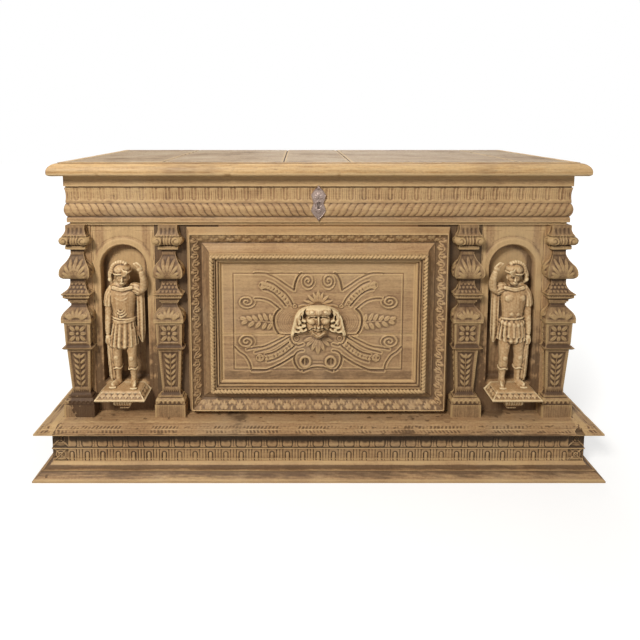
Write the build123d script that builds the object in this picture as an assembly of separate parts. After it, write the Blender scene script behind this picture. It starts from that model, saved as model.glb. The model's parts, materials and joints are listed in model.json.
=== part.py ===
from build123d import *
import os
from math import copysign, cos, pi, sin

# A carved walnut-type marriage chest: a framed carcass on a moulded plinth, with term-like square
# columns, two niches with soldiers, a bolection frame round a carved panel, and a hinged plank lid.
# The chest's front faces -Y and +Z is up. The origin is the centre of the footprint, on the floor.
# A setback is a distance inward from the nose of the base moulding, the same on the front and sides.

# Overall sizes
width = 1622
depth = 612
height = 904

# Base moulding, carved plinth band and ledge
base_height = 36
base_nose = 5
base_slope_top = 20
base_slope_run = 18
band_height = 96
band_setback = 41
band_thickness = 30
band_fillet = 3
band_fillet_proud = 2
band_lower_tier = 39
ledge_thickness = 20
ledge_setback = 6
ledge_nose_height = 4
ledge_chamfer_run = 8
ledge_slope_run = 40
ledge_slope_drop = 11
ledge_inner_setback = 141
ledge_side_width = 54
plinth_back_thickness = 30

# Floor
floor_board_count = 4
floor_board_gap = 1
bearer_width = 60
bearer_height = 28
bearer_spacing = 450

# Carcass
wall_setback = 100
post_width = 48
post_depth = 62
back_post_depth = 50
stile_thickness = 32
niche_panel_width = 185
niche_panel_thickness = 40
niche_panel_inset = 2
side_panel_thickness = 25
side_panel_inset = 6
back_panel_inset = 5
back_rail_thickness = 50
tongue_length = 8
tongue_thickness = 10
tenon_length = 40
tenon_thickness = 10
tenon_shoulder = 12

# Frieze rail
frieze_height = 145
frieze_setback = 82
frieze_thickness = 50

# Niches, brackets and figures
niche_width = 135
niche_depth = 27
niche_arch_drop = 61.7
archivolt_width = 22
archivolt_proud = 2
bracket_top_height = 90
bracket_thickness = 24
bracket_lip = 4
bracket_width = 144
bracket_top_width = 108
bracket_depth = 66
bracket_top_depth = 50
pendant_width = 52
pendant_height = 46
pendant_depth = 48
pendant_tip_width = 22
figure_headroom = 42
figure_axis_proud = 15
figure_clearance = 0.2

# Columns
column_half_width = 44.4
column_inset = 10.5
inner_column_setback = 44
volute_radius = 13.6
volute_inset = 17.4
volute_proud = 3
volute_drop = 44
volute_sides = 16

# Bolection frame and centre panel
frame_side_gap = 7.6
frame_margin = 8
frame_width = 102
frame_rebate = 10
centre_panel_proud = 21
centre_panel_thickness = 40
centre_board_joint = 247
mask_width = 160
mask_height = 104
mask_depth = 36
mask_centre = 278

# Lid
lid_thickness = 37
lid_clearance = 0.3
lid_setback = 51
lid_edge_width = 38
lid_nose_height = 8
lid_nose_top = 15
lid_under_rise = 6
lid_under_run = 12
lid_fillet = 2
lid_joints = (-447, -100, 92, 575)
plank_gap = 1
batten_width = 60
batten_thickness = 25
batten_end_setback = 161
batten_from_back = 130

# Hinges
hinge_setback = 321
hinge_axis_behind = 7
barrel_radius = 6
pin_radius = 3
pin_clearance = 0.05
leaf_length = 120
leaf_width = 52
leaf_thickness = 3
knuckle_count = 3
knuckle_clearance = 0.4
pin_head = 3
pin_head_gap = 0.4

# Lock
lock_width = 140
lock_height = 100
lock_thickness = 30
lock_drop = 20
bolt_length = 44
bolt_thickness = 8
bolt_height = 14
bolt_clearance = 0.3
bolt_travel = 22
bolt_rest_end = -9
staple_width = 8
staple_prong = 4
staple_gap = 11
staple_drop = 34
staple_crossbar = 5
staple_plate_length = 70
staple_plate_width = 26
staple_plate_thickness = 3
staple_clearance = 2
escutcheon_thickness = 3
escutcheon_seat = 88
escutcheon_half_width = 21.5
escutcheon_half_height = 52.5
escutcheon_above_frieze = 64
keyhole_radius = 5
keyhole_slot = 6
keyhole_length = 20
keyhole_depth = 62

# Levels and planes worked out from the sizes
nose_y = -(depth + hinge_axis_behind + barrel_radius) / 2
back_y = nose_y + depth
wall_y = nose_y + wall_setback
half_width = width / 2
wall_x = half_width - wall_setback
ledge_bottom = base_height + band_height
ledge_top = ledge_bottom + ledge_thickness
lid_bottom = height - lid_thickness
rim = lid_bottom - lid_clearance
frieze_bottom = rim - frieze_height
zone_height = frieze_bottom - ledge_top
zone_centre = (frieze_bottom + ledge_top) / 2
hinge_axis_y = back_y + hinge_axis_behind
hinge_axis_z = (rim + lid_bottom) / 2
rail_inner_y = nose_y + frieze_setback + frieze_thickness
post_inner = wall_x - post_width
niche_x = post_inner - niche_panel_width / 2
niche_inner = post_inner - niche_panel_width
niche_top = frieze_bottom - niche_arch_drop
foot_level = ledge_top + bracket_top_height
figure_height = niche_top - foot_level - figure_headroom
outer_column_x = wall_x - column_inset
inner_column_x = niche_inner - inner_column_setback
frame_half_width = inner_column_x - column_half_width - frame_side_gap
stile_inner = frame_half_width - frame_width + frame_rebate
hinge_x = half_width - hinge_setback


def outline(points):
    # A closed face: each point is the end of a line, or (through, end) of an arc.
    edges = []
    at = points[0]
    for step in points[1:] + points[:1]:
        end = step[-2:]
        if end != at:
            edges.append(ThreePointArc(at, step[:2], end) if len(step) == 4 else Line(at, end))
        at = end
    return make_face(edges)


def level_arc(start, end):
    # The arc from start that is level where it ends, as a (through, end) step of an outline.
    dx, dz = end[0] - start[0], end[1] - start[1]
    radius = (dx * dx + dz * dz) / (2 * dz)
    centre = Vector(end[0], end[1] - radius)
    middle = (Vector(*start) - centre) + (Vector(*end) - centre)
    through = centre + middle.normalized() * abs(radius)
    return (through.X, through.Y, *end)


def box(low, high):
    size = [b - a for a, b in zip(low, high)]
    return Pos(*low) * Box(*size, align=(Align.MIN, Align.MIN, Align.MIN))


def mirrored(solid):
    return mirror(solid, about=Plane.YZ)


def prism(points, low, high):
    return extrude(Plane.XY.offset(low) * outline(points), high - low)


def front_run(profile):
    # A profile of (setback, height) run along the front.
    start = Plane(origin=(-half_width, nose_y, 0), x_dir=(0, 1, 0), z_dir=(1, 0, 0))
    return extrude(start * outline(profile), width)


def side_run(profile):
    # The same profile run along the left side, from the front nose to the back.
    start = Plane(origin=(-half_width, nose_y, 0), x_dir=(1, 0, 0), z_dir=(0, -1, 0))
    return extrude(start * outline(profile), -depth)


def mitred_runs(profile):
    # Front, left and right members of a profile, mitred at the two front corners.
    reach = depth / 2
    corner = (-half_width, nose_y)
    inner = (-half_width + reach, nose_y + reach)
    front_wedge = prism([corner, (half_width, nose_y), (-inner[0], inner[1]), inner], 0, height)
    side_wedge = prism([corner, inner, (inner[0], back_y), (-half_width, back_y)], 0, height)
    front = front_run(profile) & front_wedge
    left = side_run(profile) & side_wedge
    return front, left, mirrored(left)


def base_profile():
    inner = band_setback + band_thickness
    slope_end = (base_slope_run, base_slope_top)
    step = base_slope_top + 3
    return [
        (0, 0),
        (0, base_nose),
        slope_end,
        (base_slope_run, step),
        (base_slope_run + 2, step),
        (base_slope_run + 12, step + 3, band_setback - 1, base_height),
        (inner, base_height),
        (inner, 0),
    ]


def band_profile():
    middle = base_height + band_lower_tier
    proud = band_setback - band_fillet_proud
    inner = band_setback + band_thickness
    return [
        (band_setback, base_height),
        (band_setback, middle - band_fillet / 2),
        (proud, middle - band_fillet / 2),
        (proud, middle + band_fillet / 2),
        (band_setback, middle + band_fillet / 2),
        (band_setback, ledge_bottom),
        (inner, ledge_bottom),
        (inner, base_height),
    ]


def frieze_profile():
    # Thin fillet, fillet, gadroon torus, ridge, shallow fluted cove, quirk and plain band.
    s = frieze_setback
    levels = [frieze_bottom + h for h in (0, 8, 20, 24, 65, 70, 109, 113)]
    torus_middle = (levels[3] + levels[4]) / 2
    flute_middle = (levels[5] + levels[6]) / 2
    inner = s + frieze_thickness
    return [
        (s + 11, levels[0]),
        (s + 11, levels[1]),
        (s + 5, levels[1]),
        (s + 5, levels[2]),
        (s + 7, levels[3]),
        (s, torus_middle, s + 6, levels[4]),
        (s + 4, levels[4]),
        (s + 4, levels[5]),
        (s + 5, flute_middle, s + 2, levels[6]),
        (s + 5, levels[6]),
        (s + 5, levels[7]),
        (s + 1, levels[7]),
        (s + 1, rim),
        (inner, rim),
        (inner, frieze_bottom),
    ]


def lid_profile():
    s = lid_setback
    nose_low = lid_bottom + lid_under_rise
    nose_high = nose_low + lid_nose_height
    shoulder = height - lid_fillet
    under = level_arc((s, nose_low), (s + lid_under_run, lid_bottom))
    return [
        (s + lid_under_run, lid_bottom),
        (*under[:2], s, nose_low),
        (s, nose_high),
        level_arc((s, nose_high), (s + lid_edge_width - lid_nose_top, shoulder)),
        (s + lid_edge_width - lid_nose_top, height),
        (s + lid_edge_width, height),
        (s + lid_edge_width, lid_bottom),
    ]


def ledge_boards():
    # One moulded slab with the carved edge on three sides, parted into the front board and two
    # notched side boards that run through to the front.
    low_nose = ledge_top - ledge_slope_drop - ledge_nose_height
    profile = [
        (ledge_setback + ledge_chamfer_run, ledge_bottom),
        (ledge_setback, low_nose),
        (ledge_setback, low_nose + ledge_nose_height),
        (ledge_setback + ledge_slope_run, ledge_top),
    ]
    deep_front = front_run(profile + [(depth, ledge_top), (depth, ledge_bottom)])
    deep_side = side_run(profile + [(half_width, ledge_top), (half_width, ledge_bottom)])
    slab = deep_front & (deep_side + mirrored(deep_side))
    split = half_width - ledge_setback - ledge_side_width
    inner_y = nose_y + ledge_inner_setback
    inner_x = half_width - ledge_inner_setback
    front = slab & box((-split, nose_y, ledge_bottom), (split, inner_y, ledge_top))
    side_plan = [
        (-half_width, nose_y),
        (-split, nose_y),
        (-split, inner_y),
        (-inner_x, inner_y),
        (-inner_x, back_y),
        (-half_width, back_y),
    ]
    left = slab & prism(side_plan, ledge_bottom, ledge_top)
    return front, left, mirrored(left)


def floor_boards():
    low_y = nose_y + ledge_inner_setback
    half = half_width - ledge_inner_setback
    pitch = (back_y - low_y + floor_board_gap) / floor_board_count
    boards = []
    for i in range(floor_board_count):
        start = low_y + i * pitch
        board = box((-half, start, ledge_bottom), (half, start + pitch - floor_board_gap, ledge_top))
        boards.append(board)
    return Compound(children=boards)


def floor_bearers():
    low_y = nose_y + band_setback + band_thickness
    high_y = back_y - plinth_back_thickness
    bars = []
    for i in (-1, 0, 1):
        x = i * bearer_spacing
        low = (x - bearer_width / 2, low_y, ledge_bottom - bearer_height)
        bars.append(box(low, (x + bearer_width / 2, high_y, ledge_bottom)))
    return Compound(children=bars)


def plinth_back():
    half = half_width - band_setback - band_thickness
    return box((-half, back_y - plinth_back_thickness, 0), (half, back_y, ledge_bottom))


# The square column's half outline: (half width, height) from the ledge up to the top of the base,
# and from the frieze down to the top of the tapered shaft. The shaft fills what is between.
def column_outline():
    top = zone_height
    w = column_half_width
    lower = [
        (0, 0),
        (w, 0),
        (w, 38),
        (w - 2, 38),
        (w - 2, 41),
        (w - 3, 50),
        (w - 9, 56),
        (w - 9, 60),
        (w - 14.5, 64),
        (w - 17.9, 74),
        (w - 17.9, 77),
    ]
    upper = [
        (w - 10.9, top - 370),
        (w - 10.9, top - 365),
        (w - 5, top - 365),
        (w, top - 360),
        (w - 8.4, top - 352),
        (w - 6.6, top - 287),
        (w - 9, top - 287),
        (w - 9, top - 284),
        (w - 0.9, top - 284),
        (w - 0.9, top - 274),
        (w - 9, top - 252),
        (w - 22.4, top - 238),
        (w - 22.4, top - 231),
        (w - 20, top - 231),
        (w - 20, top - 225),
        (w - 16.4, top - 225),
        (w - 16.4, top - 219),
        (w - 6.4, top - 211),
        (w - 6.4, top - 204),
        (w - 1.4, top - 200),
        (w - 15, top - 190),
        (w - 22.4, top - 170),
        (w - 22.4, top - 160),
        (w - 14, top - 157),
        (w - 4, top - 150),
        (w - 0.9, top - 138),
        (w - 8, top - 115),
        (w - 19, top - 101),
        (w - 25.4, top - 85),
        (w - 25.4, top - 74),
        (w - 15.4, top - 70),
        (w - 15.4, top - 61),
        (w - volute_inset, top - volute_drop - volute_radius),
        (w - volute_inset, top - volute_drop + volute_radius),
        (w - 8, top - volute_drop + volute_radius),
        (w - 15, top - 20),
        (w - 16.9, top - 6),
        (w - 16.9, top),
        (0, top),
    ]
    return lower + upper


def column(x):
    # The outline's square body, mitred at its corners, with a scroll rolled along each face.
    half = outline(column_outline())
    full = half + mirror(half, about=Plane.YZ)
    reach = column_half_width + 1
    square = extrude(Plane.XZ * full, reach, both=True) & extrude(Plane.YZ * full, reach, both=True)
    scroll_x = column_half_width - volute_inset
    scroll_z = zone_height - volute_drop
    scroll_reach = scroll_x + volute_radius + volute_proud
    section = RegularPolygon(volute_radius, volute_sides, rotation=180 / volute_sides)
    scroll = extrude(section, scroll_reach, both=True)
    at_corner = x == -outer_column_x
    for side in (-1, 1):
        square += Pos(side * scroll_x, 0, scroll_z) * Rot(90, 0, 0) * scroll
        if at_corner:
            square += Pos(0, side * scroll_x, scroll_z) * Rot(0, 90, 0) * scroll
    wall_start = -wall_x if at_corner else -half_width
    wall = box((wall_start, wall_y, 0), (2 * half_width, back_y, height))
    return Pos(x, wall_y + column_inset, ledge_top) * square - wall


def niche_panel(x):
    low = wall_y + niche_panel_inset
    high = low + niche_panel_thickness
    half = niche_panel_width / 2
    tongue_y = wall_y + (stile_thickness - tongue_thickness) / 2
    panel = box((x - half, low, ledge_top), (x + half, high, frieze_bottom))
    tongue_half = half + tongue_length
    tongue_low = (x - tongue_half, tongue_y, ledge_top)
    panel += box(tongue_low, (x + tongue_half, tongue_y + tongue_thickness, frieze_bottom))
    radius = niche_width / 2
    spring = niche_top - radius

    def arched(r, bottom):
        return outline([(x - r, bottom), (x + r, bottom), (x + r, spring), (x, spring + r, x - r, spring)])

    face = Plane(origin=(0, low, 0), x_dir=(1, 0, 0), z_dir=(0, -1, 0))
    archivolt = extrude(face * arched(radius + archivolt_width, foot_level), archivolt_proud)
    recess = extrude(face * arched(radius, foot_level), -niche_depth)
    recess += extrude(face * arched(radius, foot_level), archivolt_proud)
    return panel + archivolt - recess


def ring(centre, across, upward, half_width, half_height, sides):
    # The corners of a flat-sided oval, which keeps the carved figures light in faces.
    angles = [2 * pi * (i + 0.5) / sides for i in range(sides)]
    return [centre + across * (half_width * cos(a)) + upward * (half_height * sin(a)) for a in angles]


def faceted(rings):
    # A closed solid of flat triangles through rings of equally many corners.
    faces = [Face(Wire.make_polygon(rings[0])), Face(Wire.make_polygon(rings[-1]))]
    for low, high in zip(rings[:-1], rings[1:]):
        for i in range(len(low)):
            j = (i + 1) % len(low)
            faces.append(Face(Wire.make_polygon([low[i], low[j], high[j]])))
            faces.append(Face(Wire.make_polygon([low[i], high[j], high[i]])))
    return Solid(Shell(faces))


def stacked(levels, sides=10):
    # Level ovals (height, half width, half depth, x, y), one above the other.
    across, inward = Vector(1, 0, 0), Vector(0, 1, 0)
    return faceted([ring(Vector(x, y, z), across, inward, a, b, sides) for z, a, b, x, y in levels])


def limb(start, end, start_radius, end_radius, sides=8):
    # A tapered limb between two points.
    a, b = Vector(*start), Vector(*end)
    direction = (b - a).normalized()
    across = direction.cross(Vector(0, 1, 0)).normalized()
    upward = direction.cross(across)
    ends = ((a, start_radius), (b, end_radius))
    return faceted([ring(point, across, upward, radius, radius, sides) for point, radius in ends])


def bracket(x):
    # A carved shelf that widens downwards and forwards to a thin lip, with its back on the panel.
    back = wall_y + niche_panel_inset
    bottom = foot_level - bracket_thickness
    low = (bracket_width / 2, bracket_depth)
    high = (bracket_top_width / 2, bracket_top_depth)
    rings = []
    for (half, deep), z in ((low, bottom), (low, bottom + bracket_lip), (high, foot_level)):
        corners = [(-half, -deep), (half, -deep), (half, 0), (-half, 0)]
        rings.append([Vector(x + u, back + v, z) for u, v in corners])
    return faceted(rings)


def pendant(x):
    # A drop under the bracket that narrows in steps to a small foot.
    top = foot_level - bracket_thickness
    back = wall_y + niche_panel_inset
    wide = pendant_width / 2
    tip = pendant_tip_width / 2
    cup = top - pendant_height / 3
    shape = [
        (x - wide, top),
        (x + wide, top),
        (x + wide, cup),
        (x + tip, top - pendant_height * 0.8),
        (x + tip, top - pendant_height),
        (x - tip, top - pendant_height),
        (x - tip, top - pendant_height * 0.8),
        (x - wide, cup),
    ]
    face = Plane(origin=(0, back, 0), x_dir=(1, 0, 0), z_dir=(0, -1, 0))
    front = extrude(face * outline(shape), pendant_depth)
    side = [
        (back, top),
        (back - pendant_depth, top),
        (back - pendant_depth, cup),
        (back - pendant_depth * 0.8, top - pendant_height * 0.75),
        (back - pendant_depth * 0.3, top - pendant_height),
        (back, top - pendant_height),
    ]
    across = Plane(origin=(x - pendant_width, 0, 0), x_dir=(0, 1, 0), z_dir=(1, 0, 0))
    return front & extrude(across * outline(side), 2 * pendant_width)


def soldier(x, kilt_hem):
    # A standing soldier in a crested helmet: one arm hangs with drapery under the hand, the other
    # is raised to the helmet, and a cloak hangs from the raised elbow. It looks towards +X when
    # built. Its points are set out on a figure of one design height and follow the figure's own.
    design_height = 376
    crest_half = 8
    chest = [
        (192, 29, 18, 0, 0),
        (240, 32, 20, 0, 0),
        (278, 40, 21, 0, 0),
        (296, 34, 16, 0, 2),
        (305, 15, 11, 0, 3),
    ]
    kilt = [(kilt_hem, 41, 27, 0, 0), (160, 37, 24, 0, 0), (204, 30, 18, 0, 0)]
    neck = [(296, 11, 11, 0, 2), (318, 11, 11, 1, -2)]
    head = [(308, 9, 9, 4, -10), (314, 14, 15, 3, -8), (330, 20, 22, 2, -6), (346, 19, 20, 2, -6)]
    helmet = [(334, 26, 28, 0, -4), (342, 27, 28, 0, -4), (356, 21, 21, 0, -3), (366, 11, 11, 0, -2)]
    cloak = [(124, 13, 11, 44, 11), (200, 15, 12, 45, 10), (292, 16, 11, 45, 8)]
    crest = [(4, 358), (0, 376), (-22, 374), (-38, 352), (-40, 322), (-32, 308), (-27, 322), (-20, 342)]
    parts = [
        stacked(chest),
        stacked(kilt, 14),
        stacked(neck, 8),
        stacked(head),
        stacked(helmet),
        stacked(cloak, 8),
        extrude(Plane.XZ * outline(crest), crest_half, both=True),
        # helmet peak
        limb((6, -20, 341), (27, -34, 346), 12, 3),
        # hanging arm: short sleeve, forearm, hand and the drapery below it
        limb((-32, 2, 296), (-46, 0, 252), 13, 17),
        limb((-44, 0, 270), (-47, -1, 214), 11, 9.5),
        limb((-47, -1, 216), (-48, -10, 160), 9.5, 6.5),
        limb((-48, -9, 164), (-49, -15, 132), 8, 6),
        limb((-47, -8, 152), (-40, 0, 14), 8, 11),
        # raised arm: short sleeve, upper arm, forearm and hand
        limb((26, 2, 292), (52, 0, 284), 14, 15),
        limb((36, 0, 288), (61, -5, 293), 10, 9.5),
        limb((60, -4, 288), (45, -12, 346), 10, 6.5),
        limb((46, -12, 340), (35, -15, 374), 7, 5),
    ]
    for foot_x, knee_x, hip_x in ((-27, -25, -16), (22, 22, 16)):
        leg = [
            (4, 9, 9, foot_x, 4),
            (34, 8, 9, foot_x, 4),
            (60, 12, 13, knee_x, 1),
            (84, 11, 12, knee_x, -4),
            (130, 15, 15, hip_x, -2),
            (170, 16, 16, hip_x, 0),
        ]
        foot = [(0, 11, 23, foot_x, -12), (7, 10, 20, foot_x, -10), (15, 7, 9, foot_x, 0)]
        parts += [stacked(leg, 8), stacked(foot, 8)]
    body = parts[0]
    for part in parts[1:]:
        body += part
    # The back is flat, where the figure stands against the niche.
    unit = figure_height / design_height
    back = (niche_panel_inset + niche_depth + figure_axis_proud - figure_clearance) / unit
    body &= box((-design_height, -design_height, 0), (design_height, back, design_height))
    if x > 0:
        body = mirrored(body)
    return Pos(x, wall_y - figure_axis_proud, foot_level) * scale(body, by=unit)


def frame_profile():
    # (inset from the outer edge, height above the wall): bevel, leaf band, cove, rope and steps.
    lap = frame_width - frame_rebate
    p = centre_panel_proud
    return [
        (0, 0),
        (0, 6),
        (12, 34),
        (17, 34),
        (43, 15),
        (56, 19, 70, 40),
        (73, 40),
        (77, 47, 81, 40),
        (86, 40),
        (86, 34),
        (93, 34),
        (93, 28),
        (98, 28),
        (frame_width, p),
        (lap, p),
        (lap, 0),
    ]


def frame_members():
    frame_half_height = zone_height / 2 - frame_margin
    low = zone_centre - frame_half_height
    corner = (-frame_half_width, wall_y, low)
    reach = frame_half_height
    rise = Plane(origin=corner, x_dir=(0, 0, 1), z_dir=(1, 0, 0))
    bottom = extrude(rise * outline(frame_profile()), 2 * frame_half_width)
    across = Plane(origin=corner, x_dir=(1, 0, 0), z_dir=(0, 0, -1))
    left = extrude(across * outline(frame_profile()), -2 * frame_half_height)
    w = frame_half_width
    bottom_wedge = outline([(-w, low), (w, low), (w - reach, low + reach), (-w + reach, low + reach)])
    high = low + 2 * frame_half_height
    left_wedge = outline([(-w, low), (-w + reach, low + reach), (-w, high)])
    front = Plane(origin=(0, wall_y, 0), x_dir=(1, 0, 0), z_dir=(0, -1, 0))
    bottom &= extrude(front * bottom_wedge, frame_width)
    left &= extrude(front * left_wedge, frame_width)
    top = mirror(bottom, about=Plane.XY.offset(zone_centre))
    return bottom, top, left, mirrored(left)


def centre_boards():
    half_height = zone_height / 2 - frame_margin - frame_width + frame_rebate
    low, high = zone_centre - half_height, zone_centre + half_height
    front = wall_y - centre_panel_proud
    back = front + centre_panel_thickness
    joint = ledge_top + centre_board_joint
    lower = box((-stile_inner, front, low), (stile_inner, back, joint))
    upper = box((-stile_inner, front, joint), (stile_inner, back, high))
    return upper, lower


def mascaron():
    # A grotesque mask: brow, cheeks and nose on a face that stands out of a hood of leaves, which
    # sweeps down to a point at each lower corner. Its points are shares of the mask's half sizes.
    front = wall_y - centre_panel_proud
    z = ledge_top + mask_centre
    w, h = mask_width / 2, mask_height / 2
    panel_face = Plane(origin=(0, front, z), x_dir=(1, 0, 0), z_dir=(0, -1, 0))
    right = [
        (0.36, 0.96),
        (0.68, 0.74),
        (0.84, 0.36),
        (0.92, -0.2),
        (1, -0.84),
        (0.5, -0.78),
        (0.3, -0.94),
        (0.1, -1),
    ]
    left = [(-a, b) for a, b in reversed(right)]
    hood = outline([(w * a, h * b) for a, b in [(0, 1)] + right + left])
    mask = extrude(panel_face * hood, mask_depth * 0.4, taper=18)
    across, upward = Vector(1, 0, 0), Vector(0, 0, 1)

    def raised(x, y, levels, sides=12):
        # Ovals (share of the mask's depth, half width, half height), one before the other.
        rings = []
        for share, a, b in levels:
            centre = Vector(w * x, front - mask_depth * share, z + h * y)
            rings.append(ring(centre, across, upward, w * a, h * b, sides))
        return faceted(rings)

    mask += raised(0, -0.05, [(0.3, 0.46, 0.92), (0.55, 0.44, 0.88), (0.7, 0.34, 0.66)], 16)
    mask += raised(0, 0.4, [(0.5, 0.46, 0.4), (0.76, 0.38, 0.3)])
    for side in (-0.28, 0.28):
        mask += raised(side, -0.2, [(0.5, 0.2, 0.28), (0.8, 0.12, 0.18)], 8)
    mask += raised(0, -0.12, [(0.6, 0.13, 0.42), (1, 0.07, 0.2)], 8)
    return mask


def carcass_walls():
    # Posts, stiles, rails and panels of the four walls, each grooved or mortised for its neighbour.
    post = box((-wall_x, wall_y, ledge_top), (-post_inner, wall_y + post_depth, frieze_bottom))
    back_post = box((-wall_x, back_y - back_post_depth, ledge_top), (-post_inner, back_y, frieze_bottom))
    side_low = wall_x - side_panel_inset
    side_high = side_low - side_panel_thickness
    side_from, side_to = wall_y + post_depth, back_y - back_post_depth
    side = box((-side_low, side_from, ledge_top), (-side_high, side_to, frieze_bottom))
    tongue_x = side_low - (side_panel_thickness - tongue_thickness) / 2
    tongue_low = (-tongue_x, side_from - tongue_length, ledge_top)
    side += box(tongue_low, (-tongue_x + tongue_thickness, side_to + tongue_length, frieze_bottom))
    panel_back = back_y - back_panel_inset
    back_low = panel_back - side_panel_thickness
    back = box((-post_inner, back_low, ledge_top), (post_inner, panel_back, frieze_bottom))
    tongue_y = back_low + (side_panel_thickness - tongue_thickness) / 2
    tongue_half = post_inner + tongue_length
    back_tongue_low = (-tongue_half, tongue_y, ledge_top)
    back += box(back_tongue_low, (tongue_half, tongue_y + tongue_thickness, frieze_bottom))
    niche = niche_panel(-niche_x)
    half_height = zone_height / 2 - frame_margin - frame_width + frame_rebate
    opening_low, opening_high = zone_centre - half_height, zone_centre + half_height
    tenon_low = wall_y + (stile_thickness - tenon_thickness) / 2
    tenon_high = tenon_low + tenon_thickness
    tenon_half = stile_inner + tenon_length

    def rail(low, high):
        body = box((-stile_inner, wall_y, low), (stile_inner, wall_y + stile_thickness, high))
        tenon_corner = (-tenon_half, tenon_low, low + tenon_shoulder)
        return body + box(tenon_corner, (tenon_half, tenon_high, high - tenon_shoulder))

    rails = rail(ledge_top, opening_low), rail(opening_high, frieze_bottom)
    stile = box((-niche_inner, wall_y, ledge_top), (-stile_inner, wall_y + stile_thickness, frieze_bottom))
    stile = stile - niche - rails[0] - rails[1]
    post = post - niche - side
    back_post = back_post - side - back
    return {
        "front_post_left": post,
        "front_post_right": mirrored(post),
        "back_posts": Compound(children=[back_post, mirrored(back_post)]),
        "side_panel_left": side,
        "side_panel_right": mirrored(side),
        "back_panel": back,
        "niche_panel_left": niche,
        "niche_panel_right": mirrored(niche),
        "front_stile_left": stile,
        "front_stile_right": mirrored(stile),
        "front_bottom_rail": rails[0],
        "front_top_rail": rails[1],
        "bracket_left": bracket(-niche_x),
        "bracket_right": bracket(niche_x),
        "bracket_pendants": Compound(children=[pendant(-niche_x), pendant(niche_x)]),
        "soldier_left": soldier(-niche_x, 122),
        "soldier_right": soldier(niche_x, 140),
    }


def back_rail():
    half = half_width - frieze_setback - frieze_thickness
    rail = box((-half, back_y - back_rail_thickness, frieze_bottom), (half, back_y, rim))
    return rail - leaf_seats(rim - leaf_thickness, rim)


def leaf_seats(low, high):
    # The shallow beds that take the hinge leaves.
    seats = []
    for x in (-hinge_x, hinge_x):
        start = (x - leaf_length / 2, hinge_axis_y - leaf_width, low)
        seats.append(box(start, (x + leaf_length / 2, back_y, high)))
    return Compound(children=seats)


def hinge_leaves(on_lid):
    # Butt hinges: a flat leaf with its share of the knuckles, cut back where the others turn.
    knuckle = leaf_length / knuckle_count
    leaves = []
    low = lid_bottom if on_lid else rim - leaf_thickness
    for x in (-hinge_x, hinge_x):
        start = x - leaf_length / 2
        edge = hinge_axis_y - barrel_radius - knuckle_clearance
        low_corner = (start, hinge_axis_y - leaf_width, low)
        leaf = box(low_corner, (start + leaf_length, edge, low + leaf_thickness))
        for i in range(knuckle_count):
            if (i % 2 == 1) == on_lid:
                a = start + i * knuckle + (knuckle_clearance / 2 if i else 0)
                b = start + (i + 1) * knuckle - (knuckle_clearance / 2 if i < knuckle_count - 1 else 0)
                barrel = Cylinder(barrel_radius, b - a, align=(Align.CENTER, Align.CENTER, Align.MIN))
                leaf += Pos(a, hinge_axis_y, hinge_axis_z) * Rot(0, 90, 0) * barrel
                leaf += box((a, edge - 1, low), (b, hinge_axis_y, low + leaf_thickness))
        bore = Cylinder(pin_radius + pin_clearance, 2 * leaf_length)
        leaf -= Pos(x, hinge_axis_y, hinge_axis_z) * Rot(0, 90, 0) * bore
        leaves.append(leaf)
    return Compound(children=leaves)


def hinge_pins():
    pins = []
    for x in (-hinge_x, hinge_x):
        # The pin is riveted flush at its inner end and has its head at the outer end.
        shank = Cylinder(pin_radius, leaf_length + pin_head_gap)
        head = Cylinder(barrel_radius - 1, pin_head)
        pin = shank + Pos(0, 0, copysign((leaf_length + pin_head_gap + pin_head) / 2, x)) * head
        pins.append(Pos(x, hinge_axis_y, hinge_axis_z) * Rot(0, 90, 0) * pin)
    return Compound(children=pins)


def keyhole(extra):
    z = frieze_bottom + escutcheon_above_frieze
    r = keyhole_radius + extra
    slot = keyhole_slot / 2 + extra
    plane = Plane(origin=(0, nose_y, z), x_dir=(1, 0, 0), z_dir=(0, -1, 0))
    hole = extrude(plane * Circle(r), -(frieze_setback + keyhole_depth))
    slot_low = (-slot, nose_y, z - keyhole_length + keyhole_radius)
    return hole + box(slot_low, (slot, nose_y + frieze_setback + keyhole_depth, z))


def escutcheon_blank(thickness, grow):
    # A pointed leaf-shaped cartouche, waisted at the middle.
    a, b = escutcheon_half_width + grow, escutcheon_half_height + grow
    right = [
        (a * 0.24, b * 0.84, a * 0.55, b * 0.74),
        (a, b * 0.46, a * 0.8, b * 0.14),
        (a * 0.66, 0, a * 0.8, -b * 0.14),
        (a, -b * 0.42, a * 0.62, -b * 0.66),
        (a * 0.29, -b * 0.81, 0, -b),
    ]
    left = [
        (-a * 0.29, -b * 0.81, -a * 0.62, -b * 0.66),
        (-a, -b * 0.42, -a * 0.8, -b * 0.14),
        (-a * 0.66, 0, -a * 0.8, b * 0.14),
        (-a, b * 0.46, -a * 0.55, b * 0.74),
        (-a * 0.24, b * 0.84, 0, b),
    ]
    z = frieze_bottom + escutcheon_above_frieze
    seat = Plane(origin=(0, nose_y + escutcheon_seat, z), x_dir=(1, 0, 0), z_dir=(0, -1, 0))
    return extrude(seat * outline([(0, b)] + right + left), thickness)


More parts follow.
